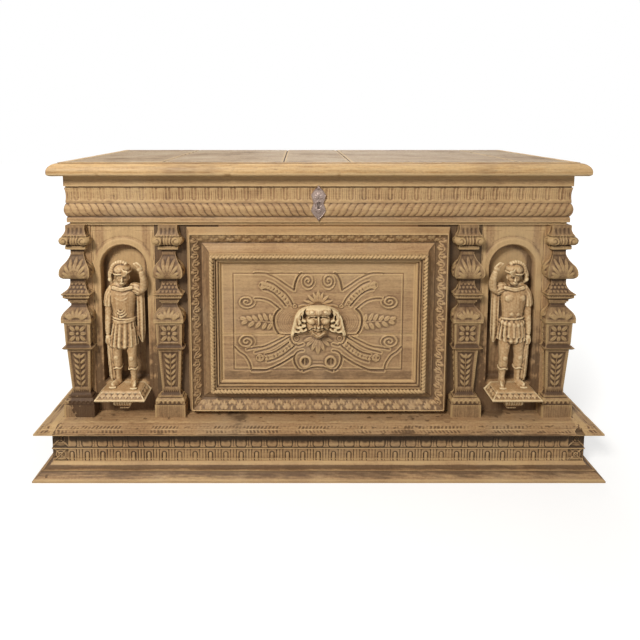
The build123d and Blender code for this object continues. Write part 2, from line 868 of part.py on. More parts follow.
def lock():
    # A box lock on the rail's inner face; the lid's staple drops in and the bolt slides through it.
    top = rim - lock_drop
    middle_y = rail_inner_y + lock_thickness / 2
    case_low = (-lock_width / 2, rail_inner_y, top - lock_height)
    case = box(case_low, (lock_width / 2, rail_inner_y + lock_thickness, top))
    well_half = (staple_gap + 2 * staple_prong) / 2 + staple_clearance
    staple_bottom = lid_bottom - staple_plate_thickness - staple_drop
    well_low = (-staple_width / 2 - staple_clearance, middle_y - well_half, staple_bottom - 3)
    case -= box(well_low, (staple_width / 2 + staple_clearance, middle_y + well_half, top))
    bolt_low = staple_bottom + staple_crossbar + 1
    half = bolt_thickness / 2
    end = bolt_rest_end
    bolt_start = (end - bolt_length, middle_y - half, bolt_low)
    bolt = box(bolt_start, (end, middle_y + half, bolt_low + bolt_height))
    c = bolt_clearance
    channel_low = (end - bolt_length - c, middle_y - half - c, bolt_low - c)
    channel_end = end + bolt_travel + c
    case -= box(channel_low, (channel_end, middle_y + half + c, bolt_low + bolt_height + c))
    case -= keyhole(0)
    eye_half = staple_gap / 2
    outer_half = eye_half + staple_prong
    loop_low = (-staple_width / 2, middle_y - outer_half, staple_bottom)
    plate_bottom = lid_bottom - staple_plate_thickness
    staple = box(loop_low, (staple_width / 2, middle_y + outer_half, plate_bottom))
    eye_low = (-staple_width / 2, middle_y - eye_half, staple_bottom + staple_crossbar)
    staple -= box(eye_low, (staple_width / 2, middle_y + eye_half, plate_bottom - staple_crossbar))
    plate_low = (-staple_plate_length / 2, middle_y - staple_plate_width / 2, plate_bottom)
    staple += box(plate_low, (staple_plate_length / 2, middle_y + staple_plate_width / 2, lid_bottom))
    return case, bolt, staple


def lid_pieces():
    front, left, right = mitred_runs(lid_profile())
    pieces = {"lid_edge_front": front, "lid_edge_left": left, "lid_edge_right": right}
    inner_x = half_width - lid_setback - lid_edge_width
    low_y = nose_y + lid_setback + lid_edge_width
    bounds = [-inner_x, *lid_joints, inner_x]
    names = ["left_end", "left", "middle", "right", "right_end"]
    seats = leaf_seats(lid_bottom, lid_bottom + leaf_thickness)
    for i, name in enumerate(names):
        low_x = bounds[i] + (plank_gap / 2 if i else 0)
        high_x = bounds[i + 1] - (plank_gap / 2 if i < len(names) - 1 else 0)
        plank = box((low_x, low_y, lid_bottom), (high_x, back_y, height))
        pieces["lid_plank_" + name] = plank - seats
    bottom = lid_bottom - batten_thickness
    front_y = rail_inner_y + lock_thickness + batten_width / 5
    half = half_width - batten_end_setback
    battens = []
    for start in (front_y, back_y - batten_from_back):
        battens.append(box((-half, start, bottom), (half, start + batten_width, lid_bottom)))
    pieces["lid_battens"] = Compound(children=battens)
    return pieces


pieces = {}
for name, profile in (
    ("base_moulding", base_profile()),
    ("plinth_band", band_profile()),
    ("frieze", frieze_profile()),
):
    front, left, right = mitred_runs(profile)
    pieces[name + "_front"] = front
    pieces[name + "_left"] = left
    pieces[name + "_right"] = right
pieces["frieze_front"] -= escutcheon_blank(frieze_setback, 0.2) + keyhole(1)
pieces["ledge_front"], pieces["ledge_left"], pieces["ledge_right"] = ledge_boards()
pieces["plinth_back"] = plinth_back()
pieces["floor_boards"] = floor_boards()
pieces["floor_bearers"] = floor_bearers()
pieces.update(carcass_walls())
pieces["column_far_left"] = column(-outer_column_x)
pieces["column_near_left"] = column(-inner_column_x)
pieces["column_near_right"] = mirrored(pieces["column_near_left"])
pieces["column_far_right"] = mirrored(pieces["column_far_left"])
bottom, top, left, right = frame_members()
pieces["frame_bottom"], pieces["frame_top"] = bottom, top
pieces["frame_left"], pieces["frame_right"] = left, right
pieces["centre_board_upper"], pieces["centre_board_lower"] = centre_boards()
pieces["mascaron"] = mascaron()
pieces["back_rail"] = back_rail()
pieces["lock_case"], pieces["lock_bolt"], pieces["lock_staple"] = lock()
pieces["escutcheon"] = escutcheon_blank(escutcheon_thickness, 0) - keyhole(0)
pieces["hinge_leaves_chest"] = hinge_leaves(False)
pieces["hinge_leaves_lid"] = hinge_leaves(True)
pieces["hinge_pins"] = hinge_pins()
pieces.update(lid_pieces())

os.makedirs("parts", exist_ok=True)
for name, solid in pieces.items():
    export_step(solid, "parts/" + name + ".step")
print(len(pieces), "pieces written")
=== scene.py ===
import bpy
import json
import numpy as np
from math import pi, radians, sin, cos, ceil
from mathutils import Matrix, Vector

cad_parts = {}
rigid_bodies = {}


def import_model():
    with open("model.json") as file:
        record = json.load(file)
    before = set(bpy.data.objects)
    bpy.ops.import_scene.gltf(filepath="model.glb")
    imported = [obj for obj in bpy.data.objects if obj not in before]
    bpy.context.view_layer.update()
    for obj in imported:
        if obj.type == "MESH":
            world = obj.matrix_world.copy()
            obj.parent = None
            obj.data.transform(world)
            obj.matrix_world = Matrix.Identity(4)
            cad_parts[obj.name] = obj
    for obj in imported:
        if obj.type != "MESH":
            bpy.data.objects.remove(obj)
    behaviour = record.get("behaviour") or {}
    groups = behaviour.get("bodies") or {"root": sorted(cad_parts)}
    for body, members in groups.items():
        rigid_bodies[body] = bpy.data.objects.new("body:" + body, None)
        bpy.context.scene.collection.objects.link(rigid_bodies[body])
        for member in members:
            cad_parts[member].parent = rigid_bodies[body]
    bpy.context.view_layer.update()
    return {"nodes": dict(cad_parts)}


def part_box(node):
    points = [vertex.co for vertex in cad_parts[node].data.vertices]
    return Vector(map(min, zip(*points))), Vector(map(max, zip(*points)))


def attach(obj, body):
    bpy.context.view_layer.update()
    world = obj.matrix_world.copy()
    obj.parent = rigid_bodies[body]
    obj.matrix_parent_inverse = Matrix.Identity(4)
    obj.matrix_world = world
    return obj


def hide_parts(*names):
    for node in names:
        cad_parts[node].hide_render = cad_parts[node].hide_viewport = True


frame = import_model()
mm = 0.001

# the planes of the chest, read from the frame, in mm
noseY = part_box("base_moulding_front")[0][1] / mm
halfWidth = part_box("base_moulding_front")[1][0] / mm
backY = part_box("back_rail")[1][1] / mm
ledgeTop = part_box("ledge_front")[1][2] / mm
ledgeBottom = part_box("ledge_front")[0][2] / mm
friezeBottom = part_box("frieze_front")[0][2] / mm
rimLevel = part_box("frieze_front")[1][2] / mm
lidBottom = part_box("lid_edge_front")[0][2] / mm
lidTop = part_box("lid_edge_front")[1][2] / mm
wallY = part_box("front_post_left")[0][1] / mm
wallX = -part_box("front_post_left")[0][0] / mm


def linear(hexText):
    # sRGB to linear: c/12.92 below 0.04045, otherwise ((c+0.055)/1.055)^2.4
    parts = [int(hexText[i:i + 2], 16) / 255 for i in (1, 3, 5)]
    return tuple(c / 12.92 if c <= 0.04045 else ((c + 0.055) / 1.055) ** 2.4 for c in parts) + (1.0,)


def addNode(tree, kind, settings=None, links=None):
    # settings go to sockets by name or number, or to the node's own fields; "stops" fill a colour ramp
    node = tree.nodes.new(kind)
    for key, value in (settings or {}).items():
        if key == "stops":
            ramp = node.color_ramp.elements
            while len(ramp) < len(value):
                ramp.new(0.5)
            for element, (place, colour) in zip(ramp, value):
                element.position = place
                element.color = colour
        elif isinstance(key, int) or key in node.inputs:
            node.inputs[key].default_value = value
        else:
            setattr(node, key, value)
    for key, socket in (links or {}).items():
        tree.links.new(socket, node.inputs[key])
    return node


def smooth(values, low, high):
    # 0 below low, 1 above high, with an eased ramp 3t^2 - 2t^3 between
    t = np.clip((values - low) / (high - low), 0, 1)
    return t * t * (3 - 2 * t)


def boxBlur(field, radius, axis, wrap):
    # running mean over 2r+1 neighbours: difference of the cumulative sum
    if radius < 1:
        return field
    mode = "wrap" if wrap else "edge"
    pad = [(0, 0)] * field.ndim
    pad[axis] = (radius + 1, radius)
    total = np.cumsum(np.pad(field, pad, mode=mode), axis=axis)
    count = field.shape[axis]
    upper = np.take(total, range(2 * radius + 1, 2 * radius + 1 + count), axis=axis)
    lower = np.take(total, range(0, count), axis=axis)
    return (upper - lower) / (2 * radius + 1)


def noiseField(x, z, seed, size, octaves=3):
    # a sum of turned sine products whose wavelength halves each octave, about -1 to 1
    rng = np.random.default_rng(seed)
    total = 0
    weight = 1.0
    norm = 0
    for _ in range(octaves):
        for _ in range(3):
            turn, shiftA, shiftB = rng.uniform(0, 2 * pi, 3)
            u = x * cos(turn) + z * sin(turn)
            v = -x * sin(turn) + z * cos(turn)
            wave = np.sin(2 * pi * u / size + shiftA)
            total = total + weight * wave * np.sin(2 * pi * v / (size * 1.31) + shiftB)
        norm += weight * 1.5
        weight *= 0.55
        size *= 0.47
    return total / norm


def carveMap(points, amount, reach):
    # hollow (-1) to crest (1): how far a point stands proud of the mean of its neighbours, along its normal
    du = np.roll(points, -1, 1) - np.roll(points, 1, 1)
    dv = np.gradient(points, axis=0)
    normal = np.cross(du, dv)
    normal /= np.linalg.norm(normal, axis=2, keepdims=True) + 1e-9
    mean = points
    for _ in range(2):
        mean = boxBlur(boxBlur(mean, reach, 1, True), reach, 0, False)
    return ((points - mean) * normal).sum(axis=2) / amount


def ringMesh(name, body, slot, material, points, carve=None, replaces=(), sharp=42, carveAmount=1.4, carveReach=3,
             stain=None):
    # rings of points in mm, rows x ring x 3, closed round each ring and capped at both ends; stain adds dirt, and
    # also the painted shade and painted light that some callers pass
    rows, ring, _ = points.shape
    if carve is None:
        carve = carveMap(points, carveAmount, carveReach)
        volume = signedVolume(points)
        carve = carve if volume > 0 else -carve
    carve = np.clip(np.clip(carve, -1, 1) - (0 if stain is None else stain), -1, 1)
    index = np.arange(rows * ring).reshape(rows, ring)
    right = np.roll(index, -1, 1)
    quads = np.stack([index[:-1], right[:-1], right[1:], index[1:]], -1).reshape(-1, 4)
    if signedVolume(points) < 0:
        quads = quads[:, ::-1]
        caps = [index[0], index[-1][::-1]]
    else:
        caps = [index[0][::-1], index[-1]]
    loops = np.concatenate([quads.ravel(), *caps])
    starts = np.concatenate([np.arange(len(quads)) * 4, len(quads) * 4 + np.array([0, ring])])
    return makeMesh(name, body, material, points.reshape(-1, 3), loops, starts, carve.ravel(), replaces,
                    sharp)


def signedVolume(points):
    # sum of a . (b x c) / 6 over the quads, positive when ring order and row order give outward faces
    a, b = points[:-1], np.roll(points, -1, 1)[:-1]
    c, d = np.roll(points, -1, 1)[1:], points[1:]
    middle = points.reshape(-1, 3).mean(axis=0)
    a, b, c, d = a - middle, b - middle, c - middle, d - middle
    return ((a * np.cross(b, c)).sum() + (a * np.cross(c, d)).sum()) / 6


def newObject(name, data):
    made = bpy.data.objects.new(name, data)
    bpy.context.scene.collection.objects.link(made)
    return made


def dressPiece(name, mesh, carve, body, material, replaces):
    # a shaded piece that keeps its hollows and crests and rides on a body in place of the named nodes
    layer = mesh.attributes.new("carve", "FLOAT", "POINT")
    layer.data.foreach_set("value", carve.astype(np.float32))
    mesh.polygons.foreach_set("use_smooth", np.ones(len(mesh.polygons), dtype=bool))
    piece = newObject(name, mesh)
    mesh.materials.append(material)
    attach(piece, body)
    if replaces:
        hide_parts(*replaces)
    return piece


def makeMesh(name, body, material, points, loops, starts, carve, replaces, sharp):
    mesh = bpy.data.meshes.new(name)
    mesh.vertices.add(len(points))
    mesh.vertices.foreach_set("co", (np.asarray(points) * mm).ravel())
    mesh.loops.add(len(loops))
    mesh.loops.foreach_set("vertex_index", loops.astype(np.int32))
    mesh.polygons.add(len(starts))
    mesh.polygons.foreach_set("loop_start", starts.astype(np.int32))
    mesh.update(calc_edges=True)
    mesh.validate()
    piece = dressPiece(name, mesh, carve, body, material, replaces)
    mesh.set_sharp_from_angle(angle=radians(sharp))
    return piece


def arcPoints(start, through, end, spacing):
    # centre of the circle through three points, then equal steps of angle
    (ax, ay), (bx, by), (cx, cy) = start, through, end
    d = 2 * (ax * (by - cy) + bx * (cy - ay) + cx * (ay - by))
    a2, b2, c2 = ax * ax + ay * ay, bx * bx + by * by, cx * cx + cy * cy
    ux = (a2 * (by - cy) + b2 * (cy - ay) + c2 * (ay - by)) / d
    uy = (a2 * (cx - bx) + b2 * (ax - cx) + c2 * (bx - ax)) / d
    radius = np.hypot(ax - ux, ay - uy)
    first, mid, last = (np.arctan2(y - uy, x - ux) for x, y in (start, through, end))
    sweep = (last - first) % (2 * pi)
    if (mid - first) % (2 * pi) > sweep:
        sweep -= 2 * pi
    count = max(3, ceil(abs(sweep) * radius / spacing))
    angles = first + sweep * np.linspace(0, 1, count + 1)[1:]
    return np.c_[ux + radius * np.cos(angles), uy + radius * np.sin(angles)]


def densePath(steps, spacing, loose=None):
    # steps are points, or (through, end) of an arc; straight parts longer than loose stay undivided
    points = [np.array([steps[0]], float)]
    at = steps[0]
    for step in steps[1:]:
        end = tuple(step[-2:])
        if len(step) == 4:
            points.append(arcPoints(at, step[:2], end, spacing))
        else:
            length = np.hypot(end[0] - at[0], end[1] - at[1])
            count = 1 if loose and length > loose else max(1, ceil(length / spacing))
            t = np.linspace(0, 1, count + 1)[1:, None]
            points.append(np.array(at) * (1 - t) + np.array(end) * t)
        at = end
    return np.concatenate(points)


def outwardNormals(section):
    # normal of a closed 2-D loop, turned away from its inside
    step = np.roll(section, -1, 0) - np.roll(section, 1, 0)
    normal = np.c_[step[:, 1], -step[:, 0]]
    normal /= np.linalg.norm(normal, axis=1, keepdims=True) + 1e-9
    x, y = section.T
    area = (x * np.roll(y, -1) - y * np.roll(x, -1)).sum()
    return normal if area > 0 else -normal


def mitredRun(name, body, slot, material, section, relief, spacing, side, amounts=(1.4, 3), bed=None, sootAndShade=None):
    # front: x = t(halfWidth - s), y = noseY + s; sides: x = +-(halfWidth - s), y from the mitre to the back
    normal = outwardNormals(section)
    s, z = section[:, 0][None], section[:, 1][None]
    if side == "front":
        rows = ceil(2 * halfWidth / spacing)
        t = np.linspace(-1, 1, rows + 1)[:, None]
        along = t * (halfWidth - s)
        mitre = (halfWidth - s) * (1 - abs(t))
        fade = smooth(mitre, 0, 5)
    else:
        rows = ceil((backY - noseY) / spacing)
        t = np.linspace(0, 1, rows + 1)[:, None]
        along = (noseY + s) * (1 - t) + backY * t
        mitre = along - noseY - s
        fade = smooth(mitre, 0, 5) * smooth(backY - along, 0, 1)
    rise = relief(along, z + 0 * along, s + 0 * along, mitre) * fade
    # dark mitre joints, with the soot, painted shade and painted light that the run is given
    stain = 0.9 * smooth(2 - mitre, 0, 2) + (sootAndShade(along, z) if sootAndShade else 0)
    s = s + rise * normal[:, 0][None]
    z = z + rise * normal[:, 1][None]
    if side == "front":
        points = np.stack([along, noseY + s, z], -1)
    else:
        sign = -1 if side == "left" else 1
        points = np.stack([sign * (halfWidth - s), along, z], -1)
    if bed:
        points = bed(points)
    return ringMesh(name + "_" + side, body, slot, material, points, None, (name + "_" + side,), 42, *amounts,
                    stain)


def runRound(name, body, slot, woods, section, relief, spacings, amounts=(1.4, 3), frontBed=None, sootAndShade=None):
    # the front run and the two side runs that meet it in mitres
    for side in ("front", "left", "right"):
        number = 0 if side == "front" else 1
        mitredRun(name, body, slot, woods[number], section, relief, spacings[number], side, amounts,
                  None if number else frontBed, sootAndShade)


def petal(x, z, baseX, baseZ, turn, length, width, tip=0.8, rib=0.0):
    # a leaf from its base along the angle turn: half width = width/2 sin(pi t^tip), rounded across, ribbed
    a = (x - baseX) * cos(turn) + (z - baseZ) * sin(turn)
    b = -(x - baseX) * sin(turn) + (z - baseZ) * cos(turn)
    t = np.clip(a / length, 1e-4, 1 - 1e-4)
    half = np.maximum(width / 2 * np.sin(pi * t ** tip), 1e-3)
    q = np.clip(abs(b) / half, 0, 1)
    inside = (a > 0) & (a < length)
    height = np.sqrt(1 - q * q) * np.minimum(1, 2.2 * half / width + 0.15)
    return np.where(inside, height - rib * np.exp(-(b / (0.09 * width)) ** 2), 0) * (q < 1)


def spiral(x, z, midX, midZ, radius, pitch, hand=1, start=0.0):
    # ridges of a spiral: 0.5 + 0.5 cos 2pi(r/pitch - hand * angle/2pi), with a round eye
    dx, dz = x - midX, z - midZ
    r = np.hypot(dx, dz)
    wave = 0.5 + 0.5 * np.cos(2 * pi * (r / pitch - hand * np.arctan2(dz, dx) / (2 * pi) + start))
    eye = smooth(pitch * 0.75 - r, 0, pitch * 0.3)
    return np.maximum(wave, eye) * smooth(radius - r, 0, 1.2)


def ring(x, z, midX, midZ, radius, width):
    r = np.hypot(x - midX, z - midZ)
    return smooth(width / 2 - abs(r - radius), 0, width * 0.4)


def newMaterial(name):
    # a material with an empty tree, and its object coordinates
    material = bpy.data.materials.new(name)
    material.use_nodes = True
    tree = material.node_tree
    tree.nodes.clear()
    return material, tree, addNode(tree, "ShaderNodeTexCoord").outputs["Object"]


def noise(tree, coords, scale, detail, roughness=0.5, distortion=0.0):
    settings = {"Scale": scale, "Detail": detail, "Roughness": roughness, "Distortion": distortion}
    return addNode(tree, "ShaderNodeTexNoise", settings, {"Vector": coords}).outputs[0]


def mapped(tree, source, low, high, bottom=0.0, top=1.0):
    # low to high of the source become bottom to top
    settings = {"From Min": low, "From Max": high, "To Min": bottom, "To Max": top}
    return addNode(tree, "ShaderNodeMapRange", settings, {0: source}).outputs[0]


def blended(tree, mask, under, colour):
    # a colour laid over what lies under it, as far as the mask says
    return addNode(tree, "ShaderNodeMix", {"data_type": "RGBA", 7: linear(colour)}, {0: mask, 6: under}).outputs[2]


def wood(name, look):
    # dry, open-grained oak: straight fibres, short dark pores, bleached patches, dirt and painted shade in the
    # hollows of the carving, pale crests of rubbed wear and painted highlight, and painted shade in the corners;
    # the eye reads a matt, thirsty surface with no varnish
    material, tree, coords = newMaterial(name)

    def stretched(across, along):
        # coordinates whose unit is so many metres across the fibre and along it
        scale = tuple(1 / (along if axis == look["grain"] else across) for axis in "xyz")
        return addNode(tree, "ShaderNodeMapping", {"Scale": scale}, {"Vector": coords}).outputs[0]

    # growth bands 14 mm wide and 500 mm long, fibres 2.2 mm by 90 mm, pores 1.2 mm by 16 mm
    bands = noise(tree, stretched(0.014, 0.5), 1.0, 5.0, 0.62, 0.9)
    fibres = noise(tree, stretched(0.0022, 0.09), 1.0, 3.0, 0.6)
    pores = mapped(tree, noise(tree, stretched(0.0012, 0.016), 1.0, 1.0), 0.62, 0.74)
    # soft speckle about 6 mm across, left by scrubbing, and faded or stained patches about 180 mm across
    speckle = noise(tree, coords, 160.0, 5.0, 0.7)
    patches = noise(tree, coords, 5.5, 4.0, 0.6)
    streaks = addNode(tree, "ShaderNodeMath", {"operation": "MULTIPLY_ADD", 1: 0.55}, {0: fibres, 2: bands})
    tone = addNode(tree, "ShaderNodeMath", {"operation": "MULTIPLY_ADD", 1: 0.75},
                   {0: speckle, 2: streaks.outputs[0]})
    stops = [(0.0, linear(look["dark"])), (0.5, linear(look["mid"])), (1.0, linear(look["light"]))]
    colour = addNode(tree, "ShaderNodeValToRGB", {"stops": stops},
                     {0: mapped(tree, tone.outputs[0], 0.84, 1.46)}).outputs[0]
    colour = blended(tree, mapped(tree, patches, 0.5, 0.72, 0.0, look["fade"]), colour, look["faded"])
    colour = blended(tree, mapped(tree, patches, 0.46, 0.3, 0.0, look["stain"]), colour, look["stained"])
    poreMask = addNode(tree, "ShaderNodeMath", {"operation": "MULTIPLY", 1: look["pores"]}, {0: pores}).outputs[0]
    colour = blended(tree, poreMask, colour, look["pore"])
    # dirt and painted shade in the hollows of the carving
    carve = addNode(tree, "ShaderNodeAttribute", {"attribute_name": "carve"}).outputs["Fac"]
    colour = blended(tree, mapped(tree, carve, -0.06, -0.6, 0.0, look["dirt"]), colour, look["dirtAndShadeColour"])
    # pale crests: partly rubbed wear, partly painted highlight
    colour = blended(tree, mapped(tree, carve, 0.15, 0.85, 0.0, look["crestPaling"]), colour, look["crestWearAndHighlight"])
    # painted shade in the corners of each piece, from its own occlusion, up to 22 mm deep
    shut = addNode(tree, "ShaderNodeAmbientOcclusion", {"samples": 8, "only_local": True, "Distance": 0.022})
    cornerShade = mapped(tree, shut.outputs["AO"], 0.82, 0.3, 0.0, look["cornerShade"])
    colour = blended(tree, cornerShade, colour, look["dirtAndShadeColour"])
    height = addNode(tree, "ShaderNodeMath", {"operation": "MULTIPLY_ADD", 1: -0.9}, {0: pores, 2: fibres})
    bump = addNode(tree, "ShaderNodeBump", {"Strength": look["bump"], "Distance": 0.0006},
                   {"Height": height.outputs[0]})
    shader = addNode(tree, "ShaderNodeBsdfPrincipled", {"Specular IOR Level": 0.32},
                     {"Base Color": colour, "Roughness": mapped(tree, fibres, 0.0, 1.0, *look["rough"]),
                      "Normal": bump.outputs[0]})
    addNode(tree, "ShaderNodeOutputMaterial", {}, {"Surface": shader.outputs[0]})
    return material


# the dirt amount paints dirt and shade in the hollows, the corner amount paints shade in the corners, and the crest
# amount paints wear and highlight on the crests
oak = {
    "grain": "x", "dark": "#80603f", "mid": "#a4815a", "light": "#bb9869", "faded": "#ac9473", "fade": 0.45,
    "stained": "#775537", "stain": 0.5, "pore": "#4c3521", "pores": 0.42, "dirtAndShadeColour": "#382213", "dirt": 0.68,
    "crestWearAndHighlight": "#cbaa78", "crestPaling": 0.55, "cornerShade": 0.78, "rough": (0.52, 0.78), "bump": 0.45,
}
oakAlong = wood("oakAlong", oak)
oakUpright = wood("oakUpright", {**oak, "grain": "z"})
oakSide = wood("oakSide", {**oak, "grain": "y"})
columnOak = wood("columnOak", {**oak, "grain": "z", "dark": "#6b4f34", "mid": "#8d6f4d", "light": "#a5855c",
                               "faded": "#94795a", "crestWearAndHighlight": "#c0a06e", "cornerShade": 0.9, "dirt": 0.8})
oakStile = wood("oakStile", {**oak, "grain": "z", "dark": "#41301f", "mid": "#5b4630", "light": "#70583d",
                             "faded": "#77614a", "cornerShade": 0.95})
oakPanel = wood("oakPanel", {**oak, "dark": "#86674a", "mid": "#a7855f", "light": "#bb976c", "faded": "#a98f70",
                           "dirt": 0.52, "cornerShade": 0.62})
# the plinth band's copy with a near-black dirt colour: it deepens the painted shadow under the ledge and the dirt
# and painted shade in the band's carving
bandShadedLook = {**oak, "dirtAndShadeColour": "#1f130b", "dirt": 0.84}
bandShadedOak = wood("bandShadedOak", bandShadedLook)
bandShadedSideOak = wood("bandShadedSideOak", {**bandShadedLook, "grain": "y"})
limewood = {
    **oak, "grain": "z", "dark": "#946f45", "mid": "#b69165", "light": "#ceae82", "faded": "#c4a680",
    "stained": "#866444", "stain": 0.4, "crestWearAndHighlight": "#e6cea0", "pores": 0.12, "dirtAndShadeColour": "#3c2612", "fade": 0.3,
    "dirt": 0.85, "crestPaling": 0.75, "cornerShade": 0.5, "rough": (0.42, 0.68), "bump": 0.3,
}
paleLimewood = wood("paleLimewood", limewood)
# the mask's copy, with less painted shade in its corners and less dirt and painted shade in its hollows
lessShadedLimewood = wood("lessShadedLimewood", {**limewood, "cornerShade": 0.3, "dirt": 0.75})
lidOak = {
    **oak, "dark": "#86633c", "mid": "#ae8756", "light": "#c6a06d", "faded": "#c3a67b", "stained": "#7a5633",
    "crestWearAndHighlight": "#dcc091", "dirtAndShadeColour": "#4a3018", "rough": (0.42, 0.66), "stain": 0.75, "pores": 0.6,
}
lidEdgeOak = wood("lidEdgeOak", lidOak)
lidEdgeSideOak = wood("lidEdgeSideOak", {**lidOak, "grain": "y"})
weatheredOak = wood("weatheredOak", {
    **oak, "dark": "#7c6650", "mid": "#a18a6e", "light": "#b59f81", "faded": "#b09f86", "fade": 0.7,
    "stained": "#70583a", "stain": 0.85, "pores": 0.78, "dirtAndShadeColour": "#22160c", "dirt": 0.95,
    "rough": (0.62, 0.85), "bump": 0.8,
})
sawn = {**oak, "dark": "#6d5337", "mid": "#8e7150", "light": "#a2845f", "pores": 0.7, "rough": (0.7, 0.9),
        "bump": 0.9}
sawnOak = wood("sawnOak", sawn)
sawnUpright = wood("sawnUpright", {**sawn, "grain": "z"})


def metal(name, look):
    # forged or cast metal: a metallic base with grain of its own, scale or tarnish breaking it up
    material, tree, coords = newMaterial(name)
    # hammer marks about 9 mm across and scale about 2 mm across
    marks = noise(tree, coords, 110.0, 3.0)
    scale = noise(tree, coords, 480.0, 4.0, 0.65)
    tone = addNode(tree, "ShaderNodeMix", {"data_type": "RGBA", 6: linear(look["bright"]), 7: linear(look["dull"])},
                   {0: mapped(tree, scale, 0.42, 0.62)})
    carve = addNode(tree, "ShaderNodeAttribute", {"attribute_name": "carve"}).outputs["Fac"]
    dirty = blended(tree, mapped(tree, carve, -0.1, -0.7, 0.0, 0.85), tone.outputs[2], look["dirt"])
    height = addNode(tree, "ShaderNodeMath", {"operation": "MULTIPLY_ADD", 1: 0.35}, {0: scale, 2: marks})
    bump = addNode(tree, "ShaderNodeBump", {"Strength": 0.5, "Distance": 0.0008}, {"Height": height.outputs[0]})
    shader = addNode(tree, "ShaderNodeBsdfPrincipled", {"Metallic": look["metallic"]},
                     {"Base Color": dirty, "Roughness": mapped(tree, scale, 0.0, 1.0, *look["rough"]),
                      "Normal": bump.outputs[0]})
    addNode(tree, "ShaderNodeOutputMaterial", {}, {"Surface": shader.outputs[0]})
    return material


wroughtIron = metal("wroughtIron", {"bright": "#5a524c", "dull": "#3a2f28", "dirt": "#1c1612",
                                    "rough": (0.45, 0.75), "metallic": 0.85})
tarnishedTin = metal("tarnishedTin", {"bright": "#b39f93", "dull": "#87726a", "dirt": "#332620",
                                      "rough": (0.3, 0.55), "metallic": 0.75})

# the nodes whose own solids stay, with their finish
carriedOver = {
    oakUpright: ("front_post_left", "front_post_right"),
    oakStile: ("front_stile_left", "front_stile_right"),
    oakSide: ("side_panel_left", "side_panel_right", "floor_bearers"),
    oakAlong: ("front_bottom_rail", "front_top_rail"),
    sawnOak: ("floor_boards", "back_rail", "back_panel", "lid_battens", "plinth_back"),
    sawnUpright: ("back_posts",),
    wroughtIron: ("lock_case", "lock_bolt", "lock_staple", "hinge_leaves_chest", "hinge_leaves_lid", "hinge_pins"),
}
for material, nodes in carriedOver.items():
    for node in nodes:
        for place in frame["nodes"][node].material_slots:
            place.material = material
print("finishes laid on the joiner's parts")


friezeLook = {
    "setback": 82, "thickness": 50, "flutePeriod": 37.5, "fluteDepth": 1.7, "gadroonPeriod": 20,
    "gadroonDepth": 1.7, "gadroonSlant": 30,
}


def friezeCarving(along, level, setback, mitre):
    # flutes: arched channels with a reed between, f 70..109; gadroons: slanting ribs, f 24..65
    look = friezeLook
    f = level - friezeBottom
    shown = setback < look["setback"] + 20
    u = ((along / look["flutePeriod"]) % 1 - 0.5) * look["flutePeriod"]
    fromTop = np.maximum(0, 79.5 - f)
    channel = 9.2 - np.hypot(u, fromTop)
    cut = -look["fluteDepth"] * smooth(channel, 0, 2.6)
    tongue = look["fluteDepth"] * 1.25 * smooth(2.8 - abs(u), 0, 2.2) * smooth(f, 73, 77)
    reed = 0.9 * smooth(2.0 - abs(abs(u) - look["flutePeriod"] / 2 + 2.6), 0, 1.6) * smooth(f, 71.5, 74)
    quirk = -1.1 * smooth(1.0 - abs(abs(u) - look["flutePeriod"] / 2 + 6.1), 0, 1) * smooth(f, 72, 75)
    inFlutes = smooth(f, 70.5, 71.5) * smooth(108.6 - f, 0, 1)
    flutes = (cut + tongue + reed + quirk) * inFlutes
    v = np.clip((f - 24) / 41, 0, 1)
    lean = np.where(along < 0, 1, -1) * look["gadroonSlant"] * (v + 0.09 * np.sin(2 * pi * v))
    phase = (along + lean) / look["gadroonPeriod"] + 0.13 * np.sin(along / 61)
    ribs = look["gadroonDepth"] * (abs(np.cos(pi * phase)) ** 0.55 - 0.75)
    split = 0.5 * np.exp(-((phase % 1 - 0.5) / 0.06) ** 2)
    gadroons = (ribs - split) * smooth(f, 24.5, 27) * smooth(64.6 - f, 0, 2.5)
    worn = 0.7 + 0.3 * smooth(noiseField(along, level, 4, 160), -0.6, 0.2)
    rough = 0.25 * noiseField(along, level * 3, 7, 46)
    return ((flutes + gadroons) * worn + rough) * shown


def friezeLightAndSmoke(along, level):
    # painted light: the fluted course is made paler against the shade of the lid's overhang; smoke left in patches
    return -0.6 * smooth(level - friezeBottom, 68, 72) + 0.3 * smooth(noiseField(along, level, 9, 170), 0.1, 0.7)


s, thick = friezeLook["setback"], friezeLook["thickness"]
f0 = friezeBottom
shownSteps = [
    (s + 11, f0), (s + 11, f0 + 8), (s + 5, f0 + 8), (s + 5, f0 + 20), (s + 7, f0 + 24),
    (s, f0 + 44.5, s + 6, f0 + 65), (s + 4, f0 + 65), (s + 4, f0 + 70), (s + 5, f0 + 89.5, s + 2, f0 + 109),
    (s + 5, f0 + 109), (s + 5, f0 + 113), (s + 1, f0 + 113), (s + 1, rimLevel),
]
section = np.concatenate([densePath(shownSteps, 1.9), [(s + thick, rimLevel), (s + thick, f0)]])
plateLook = {
    "level": friezeBottom + 64, "half": 21.5, "tall": 52.5, "seat": 88, "rim": 82.6, "dome": 2.4,
    "middle": -4, "rays": 180, "rings": 34,
    # half widths as shares, from the tip to the foot
    "edge": ((-1, 0), (-0.81, 0.29), (-0.66, 0.62), (-0.42, 1), (-0.14, 0.8), (0, 0.66), (0.14, 0.8), (0.46, 1),
             (0.74, 0.55), (0.84, 0.24), (1, 0)),
}


def plateHalf(z):
    share, wide = np.array(plateLook["edge"]).T
    return plateLook["half"] * np.interp(z / plateLook["tall"], share, wide, left=0, right=0)


